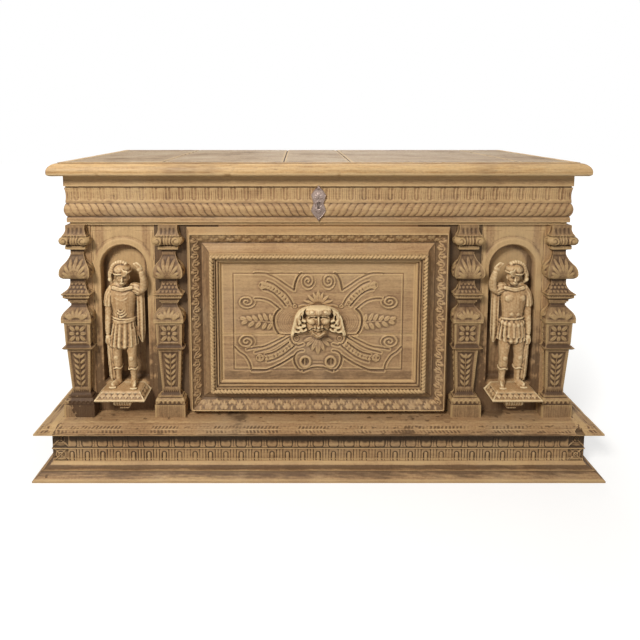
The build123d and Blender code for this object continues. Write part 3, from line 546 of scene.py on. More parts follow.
def plateBed(points):
    # the rail is cut back to a flat bed under the plate
    cut = noseY + plateLook["seat"] + 0.2
    under = (abs(points[..., 0]) < plateHalf(points[..., 2] - plateLook["level"]) - 0.3) & (points[..., 1] < cut)
    points[..., 1] = np.where(under, cut, points[..., 1])
    return points


runRound("frieze", "chest", "body_wood", (oakAlong, oakSide), section, friezeCarving, (2.0, 2.8),
         frontBed=plateBed, sootAndShade=friezeLightAndSmoke)
print("frieze fluted and gadrooned")


def raySpan(inside, midZ, far, count):
    # how far each of count rays from (0, midZ) stays inside, to 0.1 mm
    angle = np.linspace(0, 2 * pi, count, endpoint=False)
    reach = np.linspace(0.1, far, int(far * 10))[:, None]
    held = inside(reach * np.cos(angle), midZ + reach * np.sin(angle))
    last = np.where(held.all(axis=0), len(reach) - 1, (~held).argmax(axis=0) - 1)
    return angle, reach[np.maximum(last, 0), 0]


def plateRelief(x, z):
    # a raised rim, two leafy lobes and a nail at each end
    a = abs(x)
    fromEdge = plateHalf(z) - a
    out = 0.9 * smooth(1.5 - abs(fromEdge - 1.4), 0, 1.1)
    for level, way in ((15, 1), (-13, -1)):
        for turn in (0.15, 0.75, 1.35):
            leaf = petal(a, way * (z - level), 0, 0, pi / 2 - turn, 19 - 5 * turn, 6.5, 0.9, 0.3)
            out = np.maximum(out, 1.3 * leaf)
    out = np.maximum(out, 1.2 * ring(x, z, 0, -3, 9, 2.2))
    for level in (43, -44):
        out = np.maximum(out, 2.0 * np.sqrt(np.clip(1 - ((z - level) ** 2 + x * x) / 7, 0, 1)))
    return out


def keyPlate():
    # rings grow from the keyhole (a round over a slot) to the plate's edge: y = front - dome (1 - t^2) - relief
    look = plateLook
    middle, rays = look["middle"], look["rays"]
    angle, inner = raySpan(lambda x, z: (np.hypot(x, z) < 5) | ((abs(x) < 3) & (z < 0) & (z > -15)),
                           middle, 20, rays)
    outer = raySpan(lambda x, z: abs(x) < plateHalf(z), middle, 60, rays)[1]
    t = np.linspace(0, 1, look["rings"])[:, None] ** 0.9
    radius = inner + (outer - inner) * t
    x, z = radius * np.cos(angle), middle + radius * np.sin(angle)
    setback = look["rim"] - look["dome"] * (1 - t ** 2) - plateRelief(x, z) * smooth(t, 0.02, 0.08)
    front = np.stack([x, noseY + setback, look["level"] + z], -1)
    throat = front[:1].copy()
    throat[..., 1] = noseY + look["seat"] + 0.1
    skirt = front[-1:].copy()
    skirt[..., 1] = noseY + look["seat"]
    points = np.concatenate([throat, front, skirt])
    carve = carveMap(points, 0.8, 2)
    carve = -carve if signedVolume(points) < 0 else carve
    carve[:2] = -1
    ringMesh("key_plate", "chest", "escutcheon_metal", tarnishedTin, points, carve, ("escutcheon",), 35)


keyPlate()


bandLook = {"setback": 41, "thickness": 30, "period": 44.7, "cut": 2.6}


def bandCarving(along, level, setback, mitre):
    # lower tier: arched slots between twin bars; upper tier: round-ended tongues between twin bars;
    # the last 44 mm before a mitre carries a ringed diagonal cross
    look = bandLook
    shown = smooth(look["setback"] + 3 - setback, 0, 1)
    period = look["period"]
    u = (along / period + 0.5) % 1 * period - period / 2
    side = abs(u)
    low = level - 36
    high = level - 76.5
    # an arched groove round a small tongue, and a bar with a groove on each side
    arch = np.hypot(u, np.maximum(0, low - 22))
    lower = -look["cut"] * smooth(2.3 - abs(arch - 6.2), 0, 1.6) * smooth(low, 1, 3)
    lower += 0.7 * smooth(3.4 - arch, 0, 2.4) * smooth(low, 1, 3)
    lower -= look["cut"] * 0.8 * smooth(1.6 - abs(side - 13.6), 0, 1.4) * smooth(low, 2, 4)
    lower += 0.9 * smooth(3.0 - abs(side - 18), 0, 1.8)
    lower -= look["cut"] * 0.45 * smooth(1.3 - abs(side - period / 2), 0, 1.2) * smooth(low, 3, 5)
    lower *= smooth(low, 0.5, 2.5) * smooth(36.5 - low, 0, 2.5)
    corner = np.hypot(np.maximum(0, side - 6), np.maximum(0, 10 - high))
    upper = -look["cut"] * 0.75 * smooth(1.9 - abs(corner - 9), 0, 1.6)
    upper -= look["cut"] * 0.6 * smooth(1.5 - abs(side - period / 2), 0, 1.4) * smooth(high, 3, 5)
    upper += 0.7 * smooth(7.4 - corner, 0, 5)
    upper *= smooth(high, 0.5, 2.5) * smooth(55 - high, 0, 2)
    uneven = 0.75 + 0.3 * noiseField(along, level, 13, 130)
    lower, upper = lower * uneven, upper * uneven
    tier = np.where(level < 75, lower, upper)
    dx = mitre - 22
    dz = np.where(level < 75, level - 55, level - 103)
    cross = ring(dx, dz, 0, 0, 6, 3) * 3 + smooth(2.6 - abs(abs(dx) - abs(dz)), 0, 2) * 2.4 - 1.8
    cross += 1.2 * smooth(2 - abs(np.hypot(dx, dz) - 13), 0, 1.6)
    atEnd = smooth(46 - mitre, 0, 2)
    rough = 0.3 * noiseField(along, level * 2, 17, 50)
    edges = smooth(abs(level - 75), 1.6, 2.4)
    return ((tier * (1 - atEnd) + cross * atEnd) * edges + rough) * shown


def underLedgeShade(along, level):
    # painted shadow under the overhang of the ledge, deepest against it; the band is also darker at its foot
    deep = 1.3 * smooth(level, 84, 109) * (0.9 + 0.3 * noiseField(along, level, 15, 90))
    return deep + 0.6 * smooth(41 - level, 0, 5)


s = bandLook["setback"]
back = s + bandLook["thickness"]
section = np.concatenate([densePath([(s, 36), (s, 73.5), (s - 2, 73.5), (s - 2, 76.5), (s, 76.5), (s, 132)], 1.7),
                          [(back, 132), (back, 36)]])
runRound("plinth_band", "chest", "body_wood", (bandShadedOak, bandShadedSideOak), section, bandCarving, (1.8, 2.6),
         sootAndShade=underLedgeShade)


baseLook = {"grainLines": 0.35}


def baseCarving(along, level, setback, mitre):
    # planed faces, so only shallow waves, wear along the nose and a nail hole near the left end
    waves = baseLook["grainLines"] * noiseField(along * 0.25, level * 3 + setback, 23, 24)
    worn = -0.9 * smooth(noiseField(along, level, 29, 90), 0.25, 0.9) * smooth(9 - level, 0, 6)
    hole = -2.2 * smooth(3.2 - np.hypot(along + 775, level - 13), 0, 1.6)
    line = -0.9 * smooth(1.3 - abs(level - 21.5), 0, 1)
    return (waves + worn + hole + line) * smooth(70 - setback, 0, 2) * smooth(level, 0.2, 1.5)


section = np.concatenate([densePath([(0, 0), (0, 5), (18, 20), (18, 23), (20, 23), (30, 26, 40, 36)], 2.2),
                          [(back, 36), (back, 0)]])
runRound("base_moulding", "chest", "body_wood", (oakAlong, oakSide), section, baseCarving, (3.0, 3.0), (1.2, 3),
         sootAndShade=lambda along, level: 0.3 + 0.3 * noiseField(along * 0.5, level * 2, 24, 150))
print("plinth carved")


def slab(name, body, slot, material, top, bottom, replaces, sharp=42, amounts=(1.2, 3), stain=None):
    # each ring goes along the top of one row and back along its underside
    points = np.concatenate([top, bottom[:, ::-1]], axis=1)
    if stain is not None:
        under = stain[:, ::-1] if bottom.shape == top.shape else np.zeros(bottom.shape[:2])
        stain = np.concatenate([stain, under], axis=1)
    return ringMesh(name, body, slot, material, points, None, replaces, sharp, *amounts, stain)


ledgeLook = {"nose": 6, "slopeRun": 40, "split": 751, "inner": 141, "slashes": 10.5, "carveDepth": 1.5}


def ledgeTopLevel(s, along):
    # 141 at the nose rising evenly to the flat at 152, cut with two worn rows of short leaning gouge strokes
    look = ledgeLook
    v = np.clip((s - look["nose"]) / look["slopeRun"], 0, 1)
    plain = ledgeTop - 11 + 11 * v
    row = np.where(v < 0.42, 1, -1)
    phase = (along + row * 16 * (v - 0.42)) / look["slashes"] + 0.1 * np.sin(along / 37)
    stroke = smooth(abs((phase % 1) - 0.5), 0.5, 0.16)
    rows = smooth(v, 0.1, 0.16) * smooth(0.74 - v, 0, 0.06) * smooth(abs(v - 0.42), 0.015, 0.05)
    rib = 0.5 * smooth(0.05 - abs(v - 0.42), 0, 0.03)
    wear = 0.25 + 0.75 * smooth(noiseField(along, s, 31, 170), -0.35, 0.35)
    carving = (rib - look["carveDepth"] * stroke * rows) * wear
    chips = -3.6 * smooth(noiseField(along, s * 0, 37, 66), 0.45, 0.95) * smooth(0.13 - v, 0, 0.13)
    dents = -0.9 * smooth(noiseField(along * 0.4, s, 39, 26), 0.45, 0.8)
    grain = 0.25 * noiseField(along * 0.2, s, 41, 9)
    return plain + carving + chips + dents + grain


def ledgeUnderside(s):
    return ledgeBottom + 5 * np.clip((14 - s) / 8, 0, 1)


look = ledgeLook
slopeRows = np.linspace(look["nose"], 47, 27)
sRows = np.concatenate([slopeRows, np.linspace(50, look["inner"], 18)])
split = look["split"]
x = np.linspace(-split, split, 660)
xx, ss = np.meshgrid(x, sRows)
top = np.stack([xx, noseY + ss, ledgeTopLevel(ss, xx)], -1)
xb, sb = np.meshgrid(np.array([-split, split]), sRows)
bottom = np.stack([xb, noseY + sb, ledgeUnderside(sb)], -1)
# the board's right end is broken off at its front corner
notch = smooth(30 - np.hypot((top[..., 0] - split) * 1.15, (ss - look["nose"]) * 1.3), 0, 5)
top[..., 1] += notch * np.maximum(0, 20 - (ss - look["nose"])) * 0.9
stain = 0.55 * smooth(8.5 - ss, 0, 2) + 0.8 * smooth(noiseField(xx, ss * 0.6, 42, 260), 0.35, 0.8) + notch
stain = stain + smooth(2.5 - abs(abs(xx) - split), 0, 2.5)
slab("ledge_front", "chest", "body_wood", oakAlong, top, bottom, ("ledge_front",), stain=stain)
for side, sign in (("left", -1), ("right", 1)):
    inner = look["inner"]
    sRows = np.concatenate([slopeRows, np.linspace(52, inner - 0.05, 10), np.linspace(inner, backY - noseY, 150)])
    across = np.concatenate([slopeRows, [52, 60]])
    far = np.where(sRows < inner - 0.01, halfWidth - split, inner)
    sx = np.concatenate([np.tile(across[:-1], (len(sRows), 1)), far[:, None]], axis=1)
    sy = np.tile(sRows[:, None], (1, sx.shape[1]))
    near = np.minimum(sx, sy)
    along = np.where(sx < sy, noseY + sy, halfWidth - sx)
    top = np.stack([sign * (halfWidth - sx), noseY + sy, ledgeTopLevel(near, along)], -1)
    keep = [0, 5, sx.shape[1] - 1]
    bottom = np.stack([sign * (halfWidth - sx), noseY + sy, ledgeUnderside(near)], -1)[:, keep]
    slab("ledge_" + side, "chest", "body_wood", oakSide, top, bottom, ("ledge_" + side,))
print("ledge carved")

lidLook = {"setback": 51, "edge": 38, "joints": (-447, -100, 92, 575), "gap": 1.6, "leafHalf": 60,
           "leafAt": 490, "leafBack": 52}


def lidEdgeCarving(along, level, setback, mitre):
    # a hand-run thumb moulding: slow waves along the run and worn dents under the nose
    waves = 0.35 * noiseField(along * 0.3, level * 2 + setback, 43, 40)
    dents = -1.6 * smooth(noiseField(along, level * 0, 47, 120), 0.45, 0.95) * smooth(878 - level, 0, 8)
    return (waves + dents) * smooth(lidLook["setback"] + 37 - setback, 0, 2)


s = lidLook["setback"]
under = (s + 3.2, lidBottom + 1.7)
section = densePath([(s + 12, lidBottom), (*under, s, lidBottom + 6), (s, lidBottom + 14),
                     (s + 5.2, lidBottom + 26.5, s + 23, lidTop - 2), (s + 23, lidTop), (s + 38, lidTop)], 1.8)
section = np.concatenate([section, [(s + 38, lidBottom)]])
runRound("lid_edge", "lid", "lid_moulding_wood", (lidEdgeOak, lidEdgeSideOak), section, lidEdgeCarving,
         (3.0, 3.0), (1.2, 3))


def plank(name, lowX, highX, seed):
    # a worn board: z = top - rounded, ragged long edges + slow waves - cracks that run in from its sides
    look = lidLook
    lowY = noseY + look["setback"] + look["edge"]
    rows = np.concatenate([[lowY, lowY + 0.6, lowY + 2], np.linspace(lowY + 4, backY - 2, 120),
                           [backY - 0.6, backY]])
    width = highX - lowX
    t = np.concatenate([[0, 0.8, 2.2, 4, 7], np.linspace(11, width - 11, max(8, int(width / 7))),
                        [width - 7, width - 4, width - 2.2, width - 0.8, width]]) / width
    tt, yy = np.meshgrid(t, rows)
    xx = lowX + width * tt
    fromEdge = np.minimum(tt, 1 - tt) * width
    fromEnd = np.minimum(yy - lowY, backY - yy)
    ragged = 1.2 + 1.1 * noiseField(yy, xx * 0, seed, 60)
    rounded = ragged * smooth(4.5 - fromEdge, 0, 4.5) + 0.7 * smooth(2.5 - fromEnd, 0, 2.5)
    height = lidTop - rounded + 0.28 * noiseField(xx * 0.12, yy, seed + 1, 7)
    height += 0.3 * noiseField(xx, yy, seed + 2, 230)
    dirt = smooth(3.2 - fromEdge, 0, 3) * 0.9
    rng = np.random.default_rng(seed)
    for _ in range(3):
        at = lowY + rng.uniform(40, 460)
        reach = rng.uniform(80, 240)
        end = rng.choice([0, 1])
        fromSide = (tt if end == 0 else 1 - tt) * width
        line = at + 5 * np.sin(fromSide / 37 + seed)
        crack = smooth(1.9 - abs(yy - line), 0, 1.5) * smooth(reach - fromSide, 0, reach * 0.6)
        height -= 2.4 * crack
        dirt = np.maximum(dirt, crack)
    height = np.minimum(height, lidTop)
    # the boards' front ends have shrunk back from the moulding in places
    shrunk = smooth(8 - (yy - lowY), 0, 6) * smooth(noiseField(xx, yy * 0, seed + 5, 210), -0.3, 0.3)
    dirt = np.maximum(dirt, shrunk)
    seat = (abs(abs(xx) - look["leafAt"]) < look["leafHalf"] + 1) & (yy > backY + 7 - look["leafBack"] - 1)
    top = np.stack([xx, yy, height], -1)
    bottom = np.stack([xx, yy, lidBottom + np.where(seat, 3.05, 0.0)], -1)
    slab(name, "lid", "lid_top_wood", weatheredOak, top, bottom, (name,), amounts=(7, 3), stain=1.3 * dirt)


innerX = halfWidth - lidLook["setback"] - lidLook["edge"]
bounds = [-innerX, *lidLook["joints"], innerX]
names = ("left_end", "left", "middle", "right", "right_end")
half = lidLook["gap"] / 2
for i, name in enumerate(names):
    plank("lid_plank_" + name, bounds[i] + (half if i else 0), bounds[i + 1] - (half if i < 4 else 0), 53 + 7 * i)
print("lid planks laid")


frameLook = {
    "halfWidth": 382, "margin": 8, "leafPeriod": 46, "leafHeight": 2.6, "ropePeriod": 10.6, "ropeDepth": 2.2,
}
frameHalfHeight = (friezeBottom - ledgeTop) / 2 - frameLook["margin"]
frameMiddle = (friezeBottom + ledgeTop) / 2


def frameCarving(along, inset, mitre, fans):
    # leaves on the outer swell, a twisted rope inside the cove
    look = frameLook
    period = look["leafPeriod"]
    u = (along / period + 0.5) % 1 * period - period / 2
    v = inset - 15
    if fans:
        # fan palmettes between pairs of curls
        leaf = np.zeros_like(along)
        for turn in (-66, -33, 0, 33, 66):
            leaf = np.maximum(leaf, petal(u, v, 0, 4, pi / 2 + radians(turn), 20 - abs(turn) / 12, 8, 0.7, 0.25))
        half = abs(u)
        leaf = np.maximum(leaf, 0.8 * spiral(half, v, 15, 17, 6.5, 5.2, 1, 0.2))
        leaf = np.maximum(leaf, petal(half, v, period / 2, 27, -pi / 2, 15, 8, 0.8, 0.3))
        leaf = np.maximum(leaf, petal(half, v, period / 2, 1, pi / 2, 10, 7, 0.8, 0.2))
    else:
        # a running stem that swings from side to side, with curled leaves off each bend
        swing = 14 + 6.5 * np.sin(2 * pi * along / period)
        leaf = 0.85 * smooth(2.3 - abs(v - swing), 0, 1.7)
        way = np.where((along / period) % 1 < 0.5, 1, -1)
        bent = (along / (period / 2)) % 1 * (period / 2) - period / 4
        for at, turn, long in ((-6, 2.3, 13), (-1, 1.75, 12), (4, 1.2, 12), (8, 0.7, 11)):
            leaf = np.maximum(leaf, petal(bent, (14 - v) * way, at, -5, turn, long + 4, 6.5, 0.85, 0.3))
        leaf = np.maximum(leaf, 0.9 * spiral(bent, (14 - v) * way, 1, 7, 5.2, 4.6, 1, 0.3))
    ground = -1.3
    leaf = look["leafHeight"] * leaf + ground
    zone = smooth(inset, 14.5, 16.5) * smooth(45 - inset, 0, 2)
    stepsDown = 0.5 * smooth(1.2 - abs(inset - 46.5), 0, 1)
    strand = abs(np.cos(pi * (along / look["ropePeriod"] + (inset - 77) / 11)))
    rope = look["ropeDepth"] * (1.7 * strand ** 0.5 - 0.9)
    ropeZone = smooth(inset, 71.5, 73.5) * smooth(83 - inset, 0, 1.6)
    worn = 0.65 + 0.35 * smooth(noiseField(along, inset, 61, 150), -0.5, 0.3)
    rough = 0.22 * noiseField(along, inset * 2, 67, 34)
    return (leaf * zone * worn + rope * ropeZone + stepsDown + rough) * smooth(mitre, 0, 5)


framePath = [(0, 0), (0, 6), (12, 34), (14.5, 37, 17, 34), (43, 15), (56, 19, 70, 40), (73, 40), (77, 47, 81, 40),
             (86, 40), (86, 34), (93, 34), (93, 28), (98, 28), (102, 21)]
section = np.concatenate([densePath(framePath, 1.9), [(92, 21), (92, 0)]])
sectionNormal = outwardNormals(section)


def frameMember(side):
    # inset i and height p above the wall; the run is shortened by i at both mitres
    inset, proud = section[:, 0][None], section[:, 1][None]
    alongX = side in ("bottom", "top")
    reach = frameLook["halfWidth"] if alongX else frameHalfHeight
    t = np.linspace(-1, 1, ceil(2 * reach / 2.0) + 1)[:, None]
    along = t * (reach - inset)
    mitre = (reach - inset) * (1 - abs(t))
    shown = np.ones((1, len(section)))
    shown[:, -3:] = 0
    rise = frameCarving(along, inset + 0 * along, mitre, alongX) * shown
    inset = inset + rise * sectionNormal[:, 0][None]
    proud = proud + rise * sectionNormal[:, 1][None]
    edge = (frameHalfHeight if alongX else frameLook["halfWidth"]) - inset
    sign = 1 if side in ("top", "right") else -1
    if alongX:
        points = np.stack([along, wallY - proud, frameMiddle + sign * edge], -1)
    else:
        points = np.stack([sign * edge, wallY - proud, frameMiddle + along], -1)
    # dark mitre joints, and painted shade on the faces within 2.5 mm of the wall
    stain = smooth(2.4 - mitre, 0, 2) + 0.5 * smooth(2.5 - section[:, 1][None], 0, 2)
    # painted light: the top member is made paler against the frieze's shade
    if side == "top":
        stain = stain - 0.4
    ringMesh("frame_" + side, "chest", "body_wood", oakAlong if alongX else oakUpright, points, None,
             ("frame_" + side,), stain=stain)


for side in ("bottom", "top", "left", "right"):
    frameMember(side)
print("frame carved")


# strapwork lines in mm from the middle of the panel, for one half; a line is cut at its depth with a lip
strapLines = {
    1.5: [
        [(183.1, 145.1), (164.1, 145.1), (147.3, 142.4), (119.4, 129.0), (91.5, 109.4), (69.7, 95.5)],
        [(183.1, 69.9), (169.7, 69.9), (155.7, 67.6), (141.7, 62.6), (129.2, 54.2), (110.5, 38.3)],
        [(147.3, 120.0), (130.6, 113.6), (113.8, 101.1), (97.0, 87.1), (83.1, 70.4), (74.1, 53.1)],
        [(158.5, 97.7), (141.7, 93.3), (125.0, 83.0), (108.2, 66.2), (94.3, 48.1)],
        [(244.6, -75.2), (230.6, -90.8), (215.0, -101.9), (205.5, -115.0), (199.0, -129.0), (195.4, -143.8)],
        [(207.4, -83.0), (192.0, -79.6), (175.3, -77.4), (155.7, -74.0), (119.4, -56.5), (88.1, -39.5)],
        [(183.7, -92.7), (158.5, -85.8), (136.2, -77.9), (113.8, -64.8), (81.7, -43.9)],
        [(152.9, -98.9), (130.6, -93.3), (108.2, -80.2), (85.9, -62.9)],
        [(147.3, -120.6), (125.0, -113.6), (102.6, -101.1), (80.3, -83.0), (63.5, -67.6)],
        [(81.7, -43.9), (80.3, -55.1), (71.9, -66.2), (57.9, -71.8), (44.0, -67.6)],
        [(68.5, -101.9), (61.8, -93.6), (52.3, -88.5), (44.0, -87.1)],
    ],
    2.6: [
        [(110.5, 38.3), (120.8, 28.6), (127.2, 14.6), (128.3, -0.7), (125.5, -16.0), (119.4, -30.0),
         (111.6, -38.9)],
        [(111.6, -38.9), (94.3, -40.0), (76.9, -39.5)],
        [(69.7, 95.5), (66.9, 110.8), (63.0, 124.8), (56.5, 137.3), (48.1, 145.1)],
        [(193.4, -148.5), (155.7, -147.1), (136.2, -141.0), (116.6, -131.8), (97.0, -120.6), (68.5, -101.9)],
        [(68.5, -101.9), (69.7, -113.6), (66.3, -129.0), (58.5, -141.5), (50.9, -147.1)],
        [(42.6, -149.3), (28.6, -143.8), (16.0, -139.6), (0, -138.2)],
    ],
}
# rows of paired leaves, leaves given as base, tip and width
strapLeaves = {
    "rows": [
        [(158.5, 109.4), (144.5, 106.1), (130.6, 97.7), (113.8, 84.4), (98.4, 69.0), (84.5, 52.3)],
        [(166.9, -108.6), (147.3, -106.7), (127.8, -101.1), (108.2, -89.9), (88.7, -76.0), (71.9, -62.0)],
    ],
    "stem": [(124, -0.7), (147.3, 0.1), (164.1, 2.1), (180.9, 1.3), (197.6, 4.0), (214.4, 5.7), (232, 5.7)],
    "sprig": [
        ((134, 0), (142, 27)), ((146, 0.7), (161, 29)), ((160, 1.5), (176, 27)), ((175, 1.8), (194, 22)),
        ((190, 3.5), (212, 19)), ((206, 5.2), (230, 15)), ((134, -1), (149, -27)), ((149, 0.1), (165, -26)),
        ((166, 1.3), (185, -21)), ((184, 2.9), (207, -17)), ((204, 4.6), (227, -7)),
    ],
    "drop": [
        ((0, -50), (0, -103), 17), ((4, -50), (20, -92), 13), ((10, -48), (37, -77), 13),
        ((15, -46), (45, -60), 11), ((0, 57), (0, 99), 13), ((2, 57), (16, 92), 10), ((5, 57), (33, 82), 10),
        ((9, 55), (47, 66), 8.5),
    ],
}
panelLook = {
    "half": 290, "proud": 21, "thickness": 40, "joint": ledgeTop + 247, "lap": 10, "spacing": 1.55,
    "rectHalf": (246.5, 144.5), "leafPitch": 9.5,
}


def strokeDistance(x, z, points):
    # nearest distance to a line of points, and how far along it (0 to 1) that is
    nearest = np.full(x.shape, 1e9)
    place = np.zeros(x.shape)
    lengths = [np.hypot(b[0] - a[0], b[1] - a[1]) for a, b in zip(points[:-1], points[1:])]
    done = 0
    for (ax, az), (bx, bz), length in zip(points[:-1], points[1:], lengths):
        dx, dz = bx - ax, bz - az
        t = np.clip(((x - ax) * dx + (z - az) * dz) / (length * length), 0, 1)
        d = np.hypot(x - ax - t * dx, z - az - t * dz)
        closer = d < nearest
        nearest = np.where(closer, d, nearest)
        place = np.where(closer, (done + t * length) / sum(lengths), place)
        done += length
    return nearest, place, sum(lengths)


def curve(points, count=14):
    # a Catmull-Rom line through the points, as a list
    p = np.array([points[0], *points, points[-1]], float)
    t = np.linspace(0, 1, count, endpoint=False)[:, None]
    parts = []
    for a, b, c, d in zip(p[:-3], p[1:-2], p[2:-1], p[3:]):
        parts.append(0.5 * (2 * b + (c - a) * t + (2 * a - 5 * b + 4 * c - d) * t ** 2
                            + (3 * b - a - 3 * c + d) * t ** 3))
    return [tuple(q) for q in np.concatenate(parts + [p[-1:]])]


def lineGap(a, z, *points):
    # distance to a smooth line through the points
    return strokeDistance(a, z, curve(points, 5))[0]


def leafTo(x, z, base, tip, width, rib=0.3):
    # a petal from one point to another
    dx, dz = tip[0] - base[0], tip[1] - base[1]
    return petal(x, z, *base, np.arctan2(dz, dx), np.hypot(dx, dz), width, 0.8, rib)


def scrollDisc(a, z, midX, midZ, wide, high, pitch, turn):
    # an oval disc whose rim winds in to an eye: spiral of the radius in the oval's own measure
    dx, dz = (a - midX) / wide, (z - midZ) / high
    r = np.hypot(dx, dz)
    wave = np.cos(2 * pi * (r / pitch + np.arctan2(dz, dx) / (2 * pi) + turn))
    return (1.0 + 2.5 * np.sign(wave) * abs(wave) ** 0.6) * smooth(1 - r, 0, 0.09)


def panelCarving(x, level):
    # low relief: straps bounded by cut lines with a lip, rows of leaves, scrolls and an incised border
    look = panelLook
    z = level - frameMiddle
    a = abs(x)
    cuts = np.zeros_like(x)
    lifts = np.zeros_like(x)
    rectX, rectZ = look["rectHalf"]
    border = np.maximum(a - rectX, abs(z) - rectZ)
    cuts = np.minimum(cuts, -1.9 * smooth(1.9 - abs(border), 0, 1.5))
    lifts = np.maximum(lifts, 0.9 * smooth(2.4 - abs(border + 4.4), 0, 2))
    for depth, lines in strapLines.items():
        for line in lines:
            near = lineGap(a, z, *line)
            cuts = np.minimum(cuts, -depth * 1.25 * smooth(1.6 + 0.5 * depth - near, 0, 1.7))
            lifts = np.maximum(lifts, (1.1 + 0.4 * depth) * smooth(3.0 - abs(near - 5.0), 0, 2.6))
    # paired leaves along each row, over a beaded midrib
    for row in strapLeaves["rows"]:
        line = np.array(curve(row, 6))
        near, place, length = strokeDistance(a, z, line)
        count = int(length / look["leafPitch"])
        for i in range(count):
            k = int((i + 0.3) / count * (len(line) - 1))
            (px, pz), (nx, nz) = line[k], line[min(k + 2, len(line) - 1)]
            heading = np.arctan2(nz - pz, nx - px)
            for turn in (2.35, -2.35):
                tip = (px + 14 * cos(heading + turn), pz + 14 * sin(heading + turn))
                lifts = np.maximum(lifts, 3.3 * leafTo(a, z, (px, pz), tip, 9))
        bead = np.hypot(((place * length / 6.5) % 1 - 0.5) * 6.5, near)
        lifts = np.maximum(lifts, 2.6 * smooth(2.9 - bead, 0, 2) * smooth(place, 0.05, 0.08))
        lifts = np.maximum(lifts, 3.0 * ring(a, z, row[0][0] + 3, row[0][1], 10, 5))
        lifts = np.maximum(lifts, 2.8 * smooth(5 - np.hypot(a - row[0][0] - 3, z - row[0][1]), 0, 3))
    # corner scrolls and the ovals above and below the mask
    lifts = np.maximum(lifts, scrollDisc(a, z, 207.4, 60.7, 28, 22, 0.44, 0.35))
    lifts = np.maximum(lifts, scrollDisc(a, -z, 208.8, 59.3, 28.5, 23, 0.44, 0.35))
    lifts = np.maximum(lifts, scrollDisc(a, z, 30, 122, 24, 28, 0.4, 0.1))
    lowOval = np.hypot((a - 37) / 17.5, (z + 120.6) / 18.5)
    lifts = np.maximum(lifts, 3.4 * smooth(0.24 - abs(lowOval - 0.84), 0, 0.14))
    cuts = np.minimum(cuts, -5.0 * smooth(0.6 - lowOval, 0, 0.16) * smooth(abs(a - 38.5), 1.2, 3))
    for groove in (-117, -127.5):
        cuts = np.minimum(cuts, -1.8 * smooth(1.5 - abs(z - groove), 0, 1.2) * smooth(15 - a, 0, 2))
    # rosette nails at the crossings
    for midX, midZ, radius in ((67.7, 46.7, 4.8), (63, -50, 6)):
        lifts = np.maximum(lifts, 2.6 * ring(a, z, midX, midZ, radius, 3))
        cuts = np.minimum(cuts, -1.3 * ring(a, z, midX, midZ, radius + 3, 2))
    # the sprigs, the palmette over the mask and the leafy drop under it
    near, place, _ = strokeDistance(a, z, curve(strapLeaves["stem"], 5))
    lifts = np.maximum(lifts, 2.6 * smooth(3.2 - 1.6 * place - near, 0, 1.8))
    for base, tip in strapLeaves["sprig"]:
        lifts = np.maximum(lifts, 4.2 * leafTo(a, z, base, tip, 14, 0.4))
    for base, tip, width in strapLeaves["drop"]:
        lifts = np.maximum(lifts, 4.4 * leafTo(a, z, base, tip, width * 1.1, 0.35))
    curl = lineGap(a, z, (56, 47), (44, 51), (30, 51), (16, 56))
    lifts = np.maximum(lifts, 2.4 * smooth(3.2 - curl, 0, 1.8))
    # fine gouge strokes fan over the plates beside the mask
    onPlate = smooth(126 - a, 0, 5) * smooth(a, 74, 84) * smooth(34 - abs(z), 0, 6)
    strokes = 0.35 * np.cos(2 * pi * np.hypot(a - 30, z * 1.7) / 6.5) * onPlate
    rough = 0.14 * noiseField(x * 0.16, level, 71, 8) + 0.16 * noiseField(x, level, 73, 60)
    worn = 0.85 + 0.15 * noiseField(x, level, 79, 140)
    return np.where(cuts < -0.4, cuts, lifts * worn + cuts) + strokes + rough


def panelStainAndLight(x, z):
    # a stain along the lower border and darker round the mask; painted light makes the upper part paler against the
    # frame's shadow
    low = 0.55 * smooth(-z, 145, 151) * (0.8 + 0.3 * noiseField(x, z, 84, 120))
    return low + 0.35 * smooth(96 - np.hypot(x, z * 1.3), 0, 22) - 0.5 * smooth(z, 0, 150)


def elevationSlab(name, material, x, levels, proudOf, backPlane, amounts, sootAndShade):
    # a board seen from the front: y = wallY - proud(x, level) in front and a flat back
    xx, zz = np.meshgrid(x, levels)
    front = np.stack([xx, wallY - proudOf(xx, zz), zz], -1)
    xb, zb = np.meshgrid(x[[0, -1]], levels)
    back = np.stack([xb, 0 * xb + backPlane, zb], -1)
    return slab(name, "chest", "body_wood", material, front, back, (name,), amounts=amounts, stain=sootAndShade(xx, zz))


look = panelLook
boardHalf = frameHalfHeight - 102 + look["lap"]
for name, low, high in (("lower", frameMiddle - boardHalf, look["joint"] - 0.5),
                        ("upper", look["joint"] + 0.5, frameMiddle + boardHalf)):
    levels = np.linspace(low, high, int((high - low) / look["spacing"]))
    x = np.concatenate([[-look["half"]], np.linspace(-282, 282, int(564 / look["spacing"])), [look["half"]]])
    atJoint = look["joint"]

    def proudOf(xx, zz):
        rounding = 1.3 * smooth(2.6 - abs(zz - atJoint), 0, 2.6) * (1 + 0.5 * noiseField(xx, zz * 0, 83, 40))
        carving = panelCarving(xx, zz) * smooth(280.5 - abs(xx), 0, 1) * smooth(174.5 - abs(zz - frameMiddle), 0, 1)
        return look["proud"] + carving - rounding

    elevationSlab("centre_board_" + name, oakPanel, x, levels, proudOf, wallY - look["proud"] + look["thickness"],
                  (1.0, 3), lambda xx, zz: panelStainAndLight(xx, zz - frameMiddle))
print("strapwork carved")


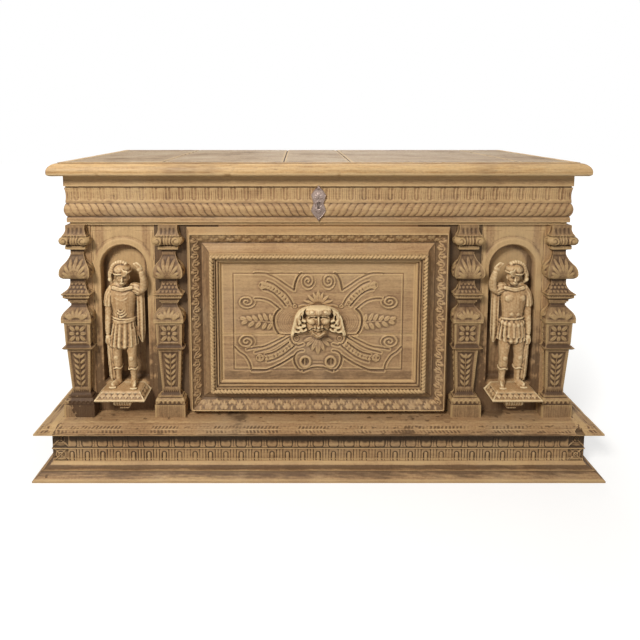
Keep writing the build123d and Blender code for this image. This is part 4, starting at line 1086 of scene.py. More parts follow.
columnLook = {"half": 44.4, "inset": 10.5, "nearX": 434, "spacing": 2.0, "hiddenRun": 34, "tuck": 0.6}
columnTop = friezeBottom - ledgeTop
w = columnLook["half"]
top = columnTop
columnPath = [
    (w, 0), (w, 38), (w - 2, 38), (w - 2, 41), (w - 2.5, 50, w - 7, 56), (w - 9, 56), (w - 9, 60),
    (w - 16, 64, w - 17, 74), (w - 17.9, 74), (w - 17.9, 77), (w - 10.9, top - 370), (w - 10.9, top - 365),
    (w - 5, top - 365), (w, top - 360), (w - 7, top - 357, w - 8.4, top - 349), (w - 6.6, top - 287),
    (w - 9, top - 287), (w - 9, top - 284), (w - 0.9, top - 284), (w - 0.9, top - 274),
    (w - 2.5, top - 263, w - 9, top - 252), (w - 22.4, top - 238), (w - 22.4, top - 231), (w - 20, top - 231),
    (w - 20, top - 225), (w - 16.4, top - 225), (w - 16.4, top - 219), (w - 6.4, top - 211), (w - 6.4, top - 204),
    (w - 1.4, top - 200), (w - 15, top - 190, w - 22.4, top - 170), (w - 22.4, top - 160), (w - 14, top - 157),
    (w - 4, top - 150, w - 0.9, top - 136), (w - 2.6, top - 125, w - 8, top - 115),
    (w - 19, top - 101, w - 25.4, top - 85), (w - 25.4, top - 74), (w - 15.4, top - 70), (w - 15.4, top - 61),
    (w - 17.4, top - 57.6), (w - 3.8, top - 44, w - 17.4, top - 30.4), (w - 8, top - 30.4),
    (w - 15, top - 20, w - 16.9, top - 6), (w - 16.9, top),
]


def columnCarving(u, h, half, turned):
    # u across the face, h up from the ledge; zones run from the plain block to the scrolled capital
    fromTop = columnTop - h
    side = abs(u)
    out = 0.25 * noiseField(u * 2, h + 40 * turned, 91 + turned, 40)
    # adze strokes on the base block, a row of scallops over it
    out += np.where(h < 38, 0.3 * np.sin(u * 0.9 + 0.6 * np.sin(h / 9)), 0)
    scallop = np.hypot((u / 13 + 0.5) % 1 * 13 - 6.5, (h - 42.5) * 0.75)
    out += np.where((h > 41.5) & (h < 56), 1.8 * smooth(1.4 - abs(scallop - 6.4), 0, 1) - 1.2 * (scallop < 3.2), 0)
    out += np.where((h > 60) & (h < 74), 0.5 * np.cos(2 * pi * u / 6), 0)
    # shaft: beaded border round a sunk panel with a climbing leaf
    onShaft = (h > 78) & (fromTop > 371)
    panel = smooth(half - 7.5 - side, 0, 1.5) * smooth(h, 82, 84) * smooth(fromTop, 374, 377)
    leaf = np.zeros_like(u)
    for i in range(6):
        base = 86 + 17.5 * i
        leaf = np.maximum(leaf, petal(side, h, 0.6, base, radians(58 - 3 * i), 25, 8.5, 0.8, 0.3))
    leaf = np.maximum(leaf, smooth(1.8 - side, 0, 1.2) * (h < columnTop - 392))
    bud = petal(u, h, 0, columnTop - 398, pi / 2, 20, 11, 0.9, 0.35)
    leaf = np.maximum(leaf, bud)
    shaft = -1.9 * panel + 3.0 * leaf * panel
    beads = np.hypot(side - half + 4.2, (h / 6.2 % 1 - 0.5) * 6.2)
    shaft += 1.0 * smooth(2.3 - beads, 0, 1.4) - 0.7 * smooth(0.9 - abs(side - half + 6.9), 0, 0.8)
    out += np.where(onShaft, shaft, 0)
    # square block: a sunk daisy with leaves in the corners
    onBlock = (fromTop < 347) & (fromTop > 289)
    mid = h - (columnTop - 318)
    sunk = smooth(28.5 - side, 0, 1.5) * smooth(25.5 - abs(mid), 0, 1.5)
    flower = smooth(5.4 - np.hypot(u, mid), 0, 2.2) * 1.15
    for i in range(8):
        turn = i * pi / 4
        flower = np.maximum(flower, petal(u, mid, 4.5 * cos(turn), 4.5 * sin(turn), turn,
                                          22 if i % 2 == 0 else 31, 13, 1.1, 0.4))
    border = 1.3 * smooth(1.6 - abs(np.maximum(side + 2.5, abs(mid)) - 27.5), 0, 1.3)
    out += np.where(onBlock, (-1.3 + 3.2 * flower) * sunk + border, 0)
    # dome: a fan of leaves over a curl
    onDome = (fromTop < 273) & (fromTop > 240)
    fan = np.zeros_like(u)
    for turn in (0, 24, 48, 72):
        leaf = petal(side, h, 0.5 + turn / 9, columnTop - 272, radians(90 - turn), 31 - turn / 12, 10, 0.9, 0.3)
        fan = np.maximum(fan, leaf)
    fan = np.maximum(fan, 0.9 * spiral(side, h, 25, columnTop - 262, 8, 6))
    out += np.where(onDome, 3.0 * fan - 1.4, 0)
    # fringe of small leaves under the fillet
    onFringe = (fromTop < 203) & (fromTop > 172)
    row = np.floor((fromTop - 172) / 9)
    shiftU = (u / 11 + 0.5 * (row % 2)) % 1 * 11 - 5.5
    tongue = smooth(5.2 - np.hypot(shiftU, ((fromTop - 172) % 9 - 1) * 0.9), 0, 2.6)
    out += np.where(onFringe, (1.7 * tongue - 0.8) * smooth(half - 2 - side, 0, 2), 0)
    onFringe = (fromTop < 210.5) & (fromTop > 204.5)
    out += np.where(onFringe, 0.8 * smooth(3 - abs((u / 7) % 1 * 7 - 3.5), 0, 1) - 0.4, 0)
    # vase: feathers that spread up and out from the foot
    onVase = (fromTop < 155) & (fromTop > 88)
    feathers = np.zeros_like(u)
    for turn, long, wide in ((0, 66, 11), (17, 62, 11), (36, 52, 11), (57, 42, 11), (78, 36, 10)):
        feather = petal(side, h, 0.4, columnTop - 155, radians(90 - turn), long, wide, 1.5, 0.42)
        feathers = np.maximum(feathers, feather)
    out += np.where(onVase, (3.2 * feathers - 1.2) * smooth(half - 1 - side, 0, 2), 0)
    # capital: scrolls at both sides of a reeded cushion, leaves on the flare
    onCap = (fromTop < 60.5) & (fromTop > 28)
    scroll = spiral(side, h, 27, columnTop - 44, 14.4, 8.2, 1, 0.15)
    disc = smooth(14.6 - np.hypot(side - 27, h - columnTop + 44), 0, 1.2)
    cushion = np.where(side < 13.5, 1.3 * np.cos(2 * pi * u / 8.4) - 0.9, -1.4)
    out += np.where(onCap, np.where(disc > 0, (0.9 + 3.6 * scroll ** 0.7) * disc, 0) + cushion * (1 - disc), 0)
    onFlare = (fromTop < 29) & (fromTop > 7)
    out += np.where(onFlare, 0.35 * np.cos(2 * pi * u / 12) - 0.2, 0)
    return out


def column(name, midX, wrapped):
    # square rings of half width w(h); each face carries the carving, which fades at its corners
    look = columnLook
    path = densePath(columnPath, look["spacing"])
    step = np.gradient(path, axis=0)
    upright = smooth(abs(step[:, 1]) / (np.hypot(step[:, 0], step[:, 1]) + 1e-9), 0.15, 0.6)[:, None]
    half, h = path[:, 0][:, None], path[:, 1][:, None]
    midY = wallY + look["inset"]
    outer = 1 if midX > 0 else -1
    count = ceil(2 * w / look["spacing"])
    shortCount = ceil(look["hiddenRun"] / look["spacing"])
    u = (np.linspace(0, 1, count)[None] * 2 - 1) * half
    rise = columnCarving(u, h + 0 * u, half, 0) * upright * smooth(half - abs(u), 0.2, 2.5)
    front = np.stack([midX + u, midY - half - rise, ledgeTop + h + 0 * u], -1)

    def sideFace(sign):
        # back to the wall, or to the rear corner on the side of an end column that looks outwards
        whole = wrapped and sign == outer
        t = np.linspace(0, 1, count if whole else shortCount)[None]
        v = -half + ((half if whole else look["tuck"] - look["inset"]) + half) * t
        rise = columnCarving(v, h + 0 * v, half, 1) * upright * smooth(half + v, 0.2, 2.5)
        rise = rise * (smooth(half - v, 0.2, 2.5) if wrapped else 1)
        return np.stack([midX + sign * (half + rise), midY + v, ledgeTop + h + 0 * v], -1)

    if not wrapped:
        points = np.concatenate([sideFace(-1)[:, ::-1], front[:, 1:-1], sideFace(1)], axis=1)
    else:
        # the back face reaches to the side wall, then two edges run inside the post
        inside = wallX - look["tuck"]
        reach = midX + outer * half
        t = np.linspace(0, 1, shortCount)[None, 1:]
        backX = reach + (outer * inside - reach) * t
        v = backX - midX
        rise = columnCarving(v, h + 0 * v, half, 2) * upright * smooth(half - abs(v), 0.2, 2.5)
        behind = np.stack([backX, midY + half + rise, ledgeTop + h + 0 * v], -1)
        corner = np.stack([np.full_like(half, outer * inside), np.full_like(half, wallY + look["tuck"]),
                           ledgeTop + h], -1)
        points = np.concatenate([sideFace(-outer)[:, ::-1], front[:, ::outer][:, 1:-1], sideFace(outer), behind,
                                 corner], axis=1)
    # the far left column's foot is charred on its inner side
    stain = None
    if name == "column_far_left":
        toRight = points[..., 0] - midX
        burnt = smooth(toRight + 0.5 * h, -20, 10) * smooth(78 - h, 0, 20)
        patch = noiseField(toRight, h + points[..., 1], 97, 24)
        stain = 3.2 * smooth(burnt + 0.7 * patch, 0.25, 0.9) * smooth(burnt, 0, 0.3)
    ringMesh(name, "chest", "body_wood", columnOak, points, None, (name,), 46, 1.3, 3, stain)


farX = wallX - columnLook["inset"]
column("column_far_left", -farX, True)
column("column_near_left", -columnLook["nearX"], False)
column("column_near_right", columnLook["nearX"], False)
column("column_far_right", farX, True)
print("columns carved")


nicheLook = {"x": 570.5, "panelHalf": 92.5, "inset": 2, "thickness": 40, "half": 67.5, "depth": 27,
             "floor": 90, "archTop": 508, "archivolt": 22, "columns": 112, "rows": 322}


def nicheRelief(u, h):
    # the recess sinks as 1 - (1 - d/16)^6 from its arched edge; a moulded archivolt stands round it
    look = nicheLook
    spring = look["archTop"] - look["half"]
    edge = look["half"] - np.hypot(u, np.maximum(0, h - spring))
    inside = np.minimum(edge, h - look["floor"])
    recess = -look["depth"] * (1 - (1 - np.clip(inside / 16, 0, 1)) ** 6)
    out = np.where(h < look["floor"], 99, -edge)
    mould = 2.2 * smooth(look["archivolt"] - out, 0, 7) * smooth(h, spring - 60, spring + 20) * smooth(out, -0.5, 3)
    mould += 0.5 * smooth(1.6 - abs(out - 4.4), 0, 1.4) - 0.5 * smooth(1.0 - abs(out - 7), 0, 0.9)
    # a shaped line over the arch, and the joints at both sides of the panel
    r = np.hypot(u, h - 430)
    over = -1.3 * smooth(1.1 - abs(r - 103), 0, 1) * (h > spring + 66) * smooth(62 - abs(u), 0, 2)
    over += -1.0 * smooth(1.0 - abs(h - 548), 0, 0.9) * smooth(abs(u), 30, 36)
    joints = -1.6 * smooth(1.0 - abs(abs(u) - 86), 0, 0.9)
    rough = 0.25 * noiseField(u, h * 0.2, 101, 13) + 0.2 * noiseField(u, h, 103, 70)
    return -look["inset"] + recess + mould * (inside < 0) + over + joints + rough


def nicheShadeAndLight(u, h):
    # painted shade at both sides, round the shelf and low in the recess, thinning out towards the arch; painted
    # light makes the middle paler near the top
    rise = smooth(430 - h, 0, 330)
    sides = 1.3 * smooth(abs(u), 50, 76) * rise
    paintedLight = 0.75 * smooth(h, 300, 430) * smooth(60 - abs(u), 0, 8)
    return (sides + 0.7 * smooth(110 - h, 0, 60) + 0.3 * rise) * (1 + 0.4 * noiseField(u, h, 102, 50)) - paintedLight


look = nicheLook
for side, sign in (("left", -1), ("right", 1)):
    mid = sign * look["x"]
    x = mid + np.concatenate([[-look["panelHalf"]], np.linspace(-91.6, 91.6, look["columns"]), [look["panelHalf"]]])
    levels = np.linspace(ledgeTop, friezeBottom, look["rows"])
    elevationSlab("niche_panel_" + side, oakUpright, x, levels, lambda xx, zz: nicheRelief(xx - mid, zz - ledgeTop),
                  wallY + look["inset"] + look["thickness"], (2.0, 5),
                  lambda xx, zz: nicheShadeAndLight(xx - mid, zz - ledgeTop))
print("niches sunk")


bracketLook = {"top": 90, "thickness": 24, "topHalf": 54, "lowHalf": 72, "topDeep": 50, "lowDeep": 66,
               "leafPeriod": 17}


def shelf(names, mids, rows, carve, material):
    # stacked U-shaped rings: half width and depth for each level, open side against the panel
    back = wallY + 1.4
    rows = np.asarray(rows)
    half, deep, z = rows[:, 0][:, None], rows[:, 1][:, None], rows[:, 2][:, None]
    for mid, pieceName in zip(mids, names):
        number = ceil(2 * rows[:, 0].max() / 1.6)
        side = ceil(rows[:, 1].max() / 2)
        share = np.linspace(-1, 1, number)[None]
        u = share * half
        rise = carve(u, z + 0 * u, half)
        front = np.stack([mid + u, back - deep - rise, z + 0 * u], -1)
        t = np.linspace(0, 1, side)[None, :-1]
        v = deep * t
        riseSide = carve(v - deep / 2, z + 0 * v, deep / 2)
        left = np.stack([mid - half - riseSide, back - v, z + 0 * v], -1)
        right = np.stack([mid + half + riseSide, back - v, z + 0 * v], -1)[:, ::-1]
        points = np.concatenate([left, front, right], axis=1)
        ringMesh(pieceName, "chest", "pale_carved_wood", material, points, None,
                 (pieceName,) if pieceName in frame["nodes"] else (), 46, 1.2, 2)


def bracketCarving(u, level, half):
    # overlapping leaves that hang down the slope between a fillet and a plain nose
    look = bracketLook
    v = ledgeTop + look["top"] - 3 - level
    period = look["leafPeriod"]
    a = (u / period + 0.5) % 1 * period - period / 2
    leaf = petal(a, v, 0, 1, pi / 2, 14, 8, 0.85, 0.35)
    for turn in (0.85, -0.85):
        leaf = np.maximum(leaf, 0.9 * petal(a, v, 0, 3, pi / 2 + turn, 11, 5, 0.8, 0.2))
    zone = smooth(v, 2, 3) * smooth(15.5 - v, 0, 1) * smooth(half - 3 - abs(u), 0, 2)
    fillet = 0.9 * smooth(1.6 - abs(v - 1), 0, 1) + 1.0 * smooth(1.2 - abs(v - 16.5), 0, 0.8)
    return (2.4 * leaf - 1.3) * zone + fillet + 0.25 * noiseField(u, level, 107, 30)


look = bracketLook
high = ledgeTop + look["top"]
low = high - look["thickness"]
t = np.linspace(0, 1, 17)
rows = [(look["topHalf"] - 1.5, look["topDeep"] - 1.5, high), (look["topHalf"], look["topDeep"], high - 1.2)]
rows += [(look["topHalf"] + 18 * q, look["topDeep"] + 16 * q, high - 1.2 - 18.8 * q) for q in t[1:]]
rows += [(look["lowHalf"], look["lowDeep"], low + 2), (look["lowHalf"] - 0.8, look["lowDeep"] - 0.8, low)]
mids = (-nicheLook["x"], nicheLook["x"])
shelf(("bracket_left", "bracket_right"), mids, rows, bracketCarving, paleLimewood)

pendantLook = {"half": 26, "deep": 48, "height": 46}


def pendantCarving(u, level, half):
    # upright reeds on the cup
    return (0.9 * np.cos(2 * pi * u / 7) - 0.3) * smooth(half - 1 - abs(u), 0, 3)


look = pendantLook
drop = [(0, 1.0, 1.0), (0.12, 1.0, 1.0), (0.13, 0.9, 0.93), (0.2, 0.9, 0.93), (0.3, 0.98, 0.98), (0.42, 0.97, 0.96),
        (0.55, 0.86, 0.86), (0.68, 0.66, 0.7), (0.8, 0.47, 0.55), (0.84, 0.45, 0.53), (0.85, 0.52, 0.58),
        (0.93, 0.5, 0.56), (1.0, 0.36, 0.45)]
down, wide, deep = np.array(drop).T
q = np.linspace(0, 1, 30)
rows = np.c_[look["half"] * np.interp(q, down, wide), look["deep"] * np.interp(q, down, deep),
             low - look["height"] * q]
shelf(("pendant_left", "pendant_right"), mids, rows, pendantCarving, paleLimewood)
for name in ("pendant_left", "pendant_right"):
    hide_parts("bracket_pendants")
print("brackets carved")


maskLook = {"level": ledgeTop + 278, "depth": 36, "rays": 360, "rings": 84}


def mound(x, z, midX, midZ, wide, high, rise, turn=0.0, power=0.5):
    # rise (1 - q^2)^power over a turned ellipse, nothing outside it
    across, up = cos(radians(turn)), sin(radians(turn))
    a = ((x - midX) * across + (z - midZ) * up) / wide
    b = (-(x - midX) * up + (z - midZ) * across) / high
    return rise * np.clip(1 - a * a - b * b, 0, None) ** power


def maskOutline(z):
    # half width of the hood at each height, from its hanging tips up to the crown
    levels = (-28, -23, -10, 8, 24, 36, 43, 48, 52, 55, 57)
    widths = (80, 79.5, 76, 71.5, 68, 62, 56, 48, 39, 30, 0)
    return np.interp(z, levels, widths, left=0, right=0)


def maskHeight(x, z):
    # a laughing grotesque: rolled brow, cheeks, hooked nose and V grin, under a hood of packed locks
    a = abs(x)
    edge = maskOutline(z) - a
    hood = (edge > 0) & ((z > -20.5) | (a > 69 + (z + 20.5) * 0.5))
    fromEdge = np.clip(edge, 0, 14)
    h = np.where(hood, 5 + 11.5 * np.sqrt(np.clip(1 - (1 - fromEdge / 7) ** 2, 0, 1)), 0)
    # locks: broad rounded strokes, packed side by side, that curl in towards the face
    for line, wide, top in (([(34, 54), (48, 45), (56, 34), (58, 22), (53, 13)], 6.5, 20),
                            ([(34, 51), (45, 42), (49, 30), (45, 19), (38, 16)], 6.0, 20),
                            ([(65, 26), (66, 12), (63, 0), (56, -5), (50, -2)], 6.2, 18.5),
                            ([(56, 16), (53, 6), (46, 1), (39, 2)], 6.2, 19.5),
                            ([(71, 8), (71, -6), (67, -15), (59, -18), (53, -14)], 5.6, 17),
                            ([(52, -4), (48, -12), (41, -14), (35, -11)], 5.8, 18),
                            ([(74, -6), (75, -16), (77, -25)], 4.4, 13.5)):
        near, place, _ = strokeDistance(a, z, curve(line, 5))
        width = wide * (1 - 0.25 * place)
        ridge = 14 + (top - 14) * np.sqrt(np.clip(1 - (near / width) ** 2, 0, 1))
        ridge -= 1.2 * smooth(0.8 - abs(near - 1.8), 0, 0.7)
        h = np.where(hood & (near < width), np.maximum(h, ridge), h)
    for midX, midZ, wide, high in ((48.5, 25, 2.0, 8), (51, 3.5, 3.4, 3.0), (57.5, -11.5, 3.2, 3.0),
                                   (42, -8.5, 3.0, 2.6)):
        hole = np.hypot((a - midX - 0.02 * (z - midZ) ** 2) / wide, (z - midZ) / high)
        h = np.where(hood, h - (h - 6) * smooth(1.3 - hole, 0, 0.6), h)
    # the face is laid out in its own heights, z stretched between these pairs of levels
    z = np.interp(z, (-60, -37, -20.5, -14.5, 4, 31, 34, 57, 80), (-69, -46, -34, -28, -10, 15.5, 20, 50, 73))
    # face, cheeks and chin, then the brow: a full roll of hair with a curl at each end
    for form in ((0, -4, 37, 43, 25, 0, 0.42), (19.5, 3.5, 16.5, 12.5, 32.5, 14, 0.42),
                 (0, -37, 14, 9.5, 27, 0, 0.45), (15, 34, 25, 17, 32, -14, 0.34), (0, 35, 20, 17, 34, 0, 0.34)):
        h = np.maximum(h, mound(a, z, *form))
    h += 0.3 * np.cos(2 * pi * x / 7) * smooth(z, 24, 30) * smooth(14 - a, 0, 5)
    curl = np.hypot(a - 19, z - 38)
    h = np.where(curl < 9, h + 3.4 * spiral(a, z, 19, 38, 8.6, 7, -1, 0.15) - 2.0, h)
    parting = lineGap(a, z, (27, 50), (36, 43), (40, 32), (37, 22))
    h -= 7 * smooth(2.2 - parting, 0, 1.8)
    frown = lineGap(a, z, (3, 19.5), (9, 21.5), (18, 21), (30, 16))
    h = np.maximum(h, 30 * smooth(3.8 - frown, 0, 3.8) * (a < 31))
    # deep eyes close to the nose, with a slit that runs out under the brow
    slit = lineGap(a, z, (5.5, 15.5), (12, 15), (21, 15), (29, 10))
    h -= 2.4 * smooth(1.9 - slit, 0, 1.7)
    h += 2.5 * smooth(1.1 - np.hypot((a - 15) / 4.6, (z - 12.6) / 1.7), 0, 0.7)
    # a hooked nose with winged nostrils
    h = np.maximum(h, mound(a, z, 0, 6, 4.8, 22, 37, 0, 0.3))
    h -= 17 * smooth(1.3 - np.hypot((a - 7) / 3.0, (z - 15.5) / 4.6), 0, 0.5)
    h = np.maximum(h, mound(a, z, 0, -9.5, 8.4, 7.4, 38, 0, 0.4))
    h = np.maximum(h, mound(a, z, 9.8, -9, 6, 5, 35, 20, 0.4))
    # dark curls beside the nostrils, then the grin: lip, opening with deep corners, lower lip, chin
    fold = lineGap(a, z, (12, -16.5), (16, -17.5), (19.5, -20), (20.5, -24))
    h -= 9 * smooth(2.3 - fold, 0, 1.9)
    h = np.maximum(h, mound(a, z, 0, -18, 8, 3.6, 33, 0, 0.4))
    grin = lineGap(a, z, (15, -24), (9, -26.5), (4, -28.5), (0, -29))
    h -= 7 * smooth(2.2 - grin, 0, 1.8)
    h -= 8 * smooth(1.2 - np.hypot((a - 9) / 3.2, (z + 26.5) / 2.8), 0, 0.6)
    lip = lineGap(a, z, (17, -27), (11, -31), (5, -34.5), (0, -36))
    h = np.maximum(h, 30 * smooth(2.9 - lip, 0, 2.4))
    return h


def mask():
    # rings between the middle and the outline, which each ray finds as its last point with any height
    look = maskLook
    angles = np.linspace(0, 2 * pi, look["rays"], endpoint=False)
    reach = np.linspace(2, 88, 600)
    rx, rz = reach[:, None] * np.cos(angles), reach[:, None] * np.sin(angles)
    solid = maskHeight(rx, rz) > 5.5
    limit = reach[np.where(solid.any(axis=0), len(reach) - 1 - solid[::-1].argmax(axis=0), 0)]
    limit = boxBlur(limit, 1, 0, True)
    limit = np.minimum(limit, np.minimum(80 / (abs(np.cos(angles)) + 1e-6), 57 / (abs(np.sin(angles)) + 1e-6)))
    t = np.concatenate([[0.015], np.linspace(0.03, 1, look["rings"])])[:, None]
    x, z = t * limit * np.cos(angles), t * limit * np.sin(angles)
    h = np.clip(maskHeight(x, z), 5, look["depth"] + 2)
    h = 0.6 * h + 0.4 * boxBlur(boxBlur(h, 1, 1, True), 1, 0, False)
    h = h + 0.25 * noiseField(x, z, 109, 9)
    plane = wallY - panelLook["proud"]
    front = np.stack([x, plane - h, look["level"] + z], -1)
    rim = front[-1:].copy()
    rim[..., 1] = plane + 1
    inner = rim.copy()
    inner[..., 0] *= 0.9
    inner[..., 2] = look["level"] + (inner[..., 2] - look["level"]) * 0.9
    points = np.concatenate([front, rim, inner])
    ringMesh("mascaron", "chest", "pale_carved_wood", lessShadedLimewood, points, None, ("mascaron",), 60, 1.6, 4)


mask()
print("mask carved")


soldierLook = {"voxel": 0.0016, "axisProud": 8, "aside": 8.5, "foot": 90}


def tube(stations, count=30, folds=None):
    # closed tube through stations (x, y, z, half width, half depth); the ring plane turns with the path;
    # folds = (number, depth at the start, depth at the end) ripples the outline by 1 + depth cos(n angle)
    rows = np.array(stations, float)
    t = np.linspace(0, 1, len(rows))
    fine = np.linspace(0, 1, max(8, 4 * len(rows)))
    rows = np.stack([np.interp(fine, t, rows[:, i]) for i in range(5)], -1)
    for _ in range(2):
        rows[1:-1] = (rows[:-2] + 2 * rows[1:-1] + rows[2:]) / 4
    path = rows[:, :3]
    along = np.gradient(path, axis=0)
    along /= np.linalg.norm(along, axis=1, keepdims=True) + 1e-9
    flat = np.cross(along, np.array([0, 1, 0]))
    flat /= np.linalg.norm(flat, axis=1, keepdims=True) + 1e-9
    deep = np.cross(flat, along)
    angle = np.linspace(0, 2 * pi, count, endpoint=False)
    ripple = np.ones((len(rows), count))
    if folds:
        number, first, last = folds
        depth = np.linspace(first, last, len(rows))[:, None]
        ripple = 1 + depth * np.cos(number * angle + 0.7 * np.sin(3 * angle))
    rings = (path[:, None] + flat[:, None] * (rows[:, 3][:, None] * np.cos(angle) * ripple)[..., None]
             + deep[:, None] * (rows[:, 4][:, None] * np.sin(angle) * ripple)[..., None])
    # rounded ends: two shrinking rings beyond each end
    ends = []
    for i, sign in ((0, -1), (-1, 1)):
        small = min(rows[i, 3], rows[i, 4])
        caps = []
        for share, out in ((0.75, 0.55), (0.3, 0.88)):
            caps.append(path[i] + (rings[i] - path[i]) * share + sign * along[i] * small * out * 0.6)
        ends.append(caps)
    rings = np.concatenate([np.array(ends[0][::-1]), rings, np.array(ends[1])])
    return rings


def ellipsoid(x, y, z, a, b, c, count=28):
    # stacked rings a sin t, b sin t at height c cos t
    t = np.linspace(0.12, pi - 0.12, 18)[:, None]
    angle = np.linspace(0, 2 * pi, count, endpoint=False)[None]
    return np.stack([x + a * np.sin(t) * np.cos(angle), y + b * np.sin(t) * np.sin(angle),
                     z + c * np.cos(t) + 0 * angle], -1)


def soldierParts(tunic):
    # the figure looks towards +X; x across, -y to the viewer, z up from the soles, in mm;
    # a limb has count points round it, and a lump is given as centre, half sizes and count
    parts = []

    def limb(count, *stations, folds=None):
        parts.append(tube(stations, count, folds))

    def lump(*sizes):
        parts.append(ellipsoid(*sizes))

    hem = 124 if tunic else 140
    chest = [(-4, 3, 303, 18, 12), (-8, 2, 296, 36, 16), (-9, 0, 282, 40, 20), (-9, -1, 262, 37, 22),
             (-8, -1, 240, 33, 20), (-8, 0, 218, 30, 18), (-8, 0, 200, 30, 18)]
    limb(48, *chest)
    if tunic:
        limb(90, (-8, 0, 204, 30, 18), (-9, 0, 190, 33, 20), (-10, 0, 160, 38, 23), (-11, 0, hem, 41, 26),
             folds=(15, 0.02, 0.1))
        # cloth drawn into a swirl over the belly, and folds that hang from shoulder to shoulder
        for wide, high, low, end in ((8, 11, -150, 80), (14, 19, -130, 95), (20, 27, -100, 60)):
            turns = np.radians(np.linspace(low, end, 18))
            limb(10, *[(-10 + wide * cos(q), -20.2 + 0.017 * (wide * cos(q)) ** 2, 240 + high * sin(q), 2.4, 2.0)
                       for q in turns])
        for fold in (-30, -24, -17):
            limb(10, (fold, -13 - (fold + 30) * 0.3, 276, 1.8, 2),
                 (fold + 1, -15 - (fold + 30) * 0.3, 244, 2.2, 2.2),
                 (fold + 4, -14 - (fold + 30) * 0.25, 212, 1.8, 2))
        for sag, out in ((14, 0), (30, -2)):
            limb(10, (-38, -8, 292 - sag * 0.2, 2.4, 3), (-24, -17 + out, 292 - sag * 0.8, 2.6, 3),
                 (-8, -19 + out, 292 - sag, 2.6, 3), (8, -17 + out, 292 - sag * 0.8, 2.6, 3),
                 (20, -8, 292 - sag * 0.2, 2.4, 3))
    else:
        limb(90, (-8, 0, 206, 30, 18), (-8, 0, 190, 33, 20), (-8, 0, 168, 37, 22), (-8, 0, hem, 40, 25),
             folds=(15, 0.02, 0.1))
        for side in (-1, 1):
            lump(-8 + side * 15, -15, 268, 15, 8, 13)
            lump(-8 + side * 9, -15, 236, 8.5, 5, 8)
            lump(-8 + side * 8, -15, 221, 7.5, 5, 7)
        # scalloped lower edge of the cuirass, over straps that hang below it
        for k in range(9):
            turn = radians(-172 + 43 * k / 2)
            cx, cy = 31.5 * cos(turn), 19 * sin(turn)
            lump(cx - 8, cy, 195 - 9 * abs(sin(turn)), 6.2, 4.5, 8.5, 16)
            limb(12, (cx * 1.02 - 8, cy * 1.05, 188, 4.2, 2.6), (cx * 1.14 - 8, cy * 1.18, 165, 4.6, 2.6),
                 (cx * 1.2 - 8, cy * 1.26, 152, 4.4, 3))
    belt = np.linspace(0, 2 * pi, 40)
    for level in ((206, 201, 196) if tunic else (205,)):
        limb(10, *[(-8 + 31 * cos(q), 18.6 * sin(q), level + 2.5 * sin(q + level), 2.6, 2.8) for q in belt])
    # legs: thigh, knee, calf, ankle; boots with a rolled top
    for side, thighX, kneeX, footX in ((-1, -26, -30, -31), (1, 10, 16, 17)):
        ky = -7 if side > 0 else -2
        limb(30, (thighX, 0, 170, 17, 17), (thighX + 2 * side, -2, 128, 17, 17), (kneeX, ky, 98, 13, 13.5),
             (kneeX, ky - 2, 84, 12, 12.5), (kneeX, ky + 2, 62, 12.5, 13.5), (footX, ky + 4, 36, 8.5, 9.5),
             (footX, ky + 4, 18, 8.5, 9.5), (footX, ky + 2, 6, 10, 10.5))
        lump(kneeX, ky - 11, 88, 7.5, 5, 9)
        turn = 0.28 * side
        toe = [(footX, ky + 8, 8, 9.5, 7.5), (footX + 6 * turn, ky - 4, 7.5, 10.5, 7),
               (footX + 18 * turn, ky - 15, 6, 11.5, 5.6), (footX + 24 * turn, ky - 22, 5, 10.5, 4.4)]
        limb(24, *toe)
        for k in range(5):
            q = (k - 2) * 4.3
            lump(footX + 26 * turn + q, ky - 25 - 1.2 * (2 - abs(k - 2)), 3.8, 2.2, 3.8, 3, 12)
        rolled = [(kneeX + (footX - kneeX) * 0.45 + 12.5 * cos(q), ky + 2 + 13.5 * sin(q), 54 + 2.5 * sin(3 * q),
                   2.3, 2.8) for q in np.linspace(0, 2 * pi, 24)]
        limb(10, *rolled)
    # the hanging arm with a fall of drapery below the hand
    limb(60, (-36, 2, 292, 15, 13), (-47, 1, 276, 15, 14), (-50, 0, 254, 15.5, 14.5), (-50, 0, 243, 14.5, 13.5),
         folds=(10, 0.02, 0.08))
    limb(26, (-46, 0, 268, 11, 11), (-51, -1, 238, 10.5, 10.5), (-52, -2, 212, 10, 10),
         (-53, -8, 178, 8.4, 8.6), (-52, -11, 160, 6.4, 6.4))
    lump(-51, -13, 149, 7.5, 6.5, 10)
    for k in range(4):
        limb(10, (-56 + 3.3 * k, -17, 147, 2.1, 2.4), (-56 + 3.1 * k, -18, 138, 2, 2.2),
             (-54 + 2.4 * k, -15, 130, 1.8, 1.9))
    limb(60, (-51, -9, 150, 6, 6), (-49, -6, 118, 8.5, 7.5), (-47, -3, 74, 9.5, 8.5), (-45, 0, 26, 10, 9),
         (-44, 1, 14, 7, 7), folds=(7, 0.1, 0.17))
    limb(40, (-40, 6, 160, 7, 8), (-39, 8, 100, 8, 9), (-36, 9, 40, 8, 9), folds=(6, 0.1, 0.14))
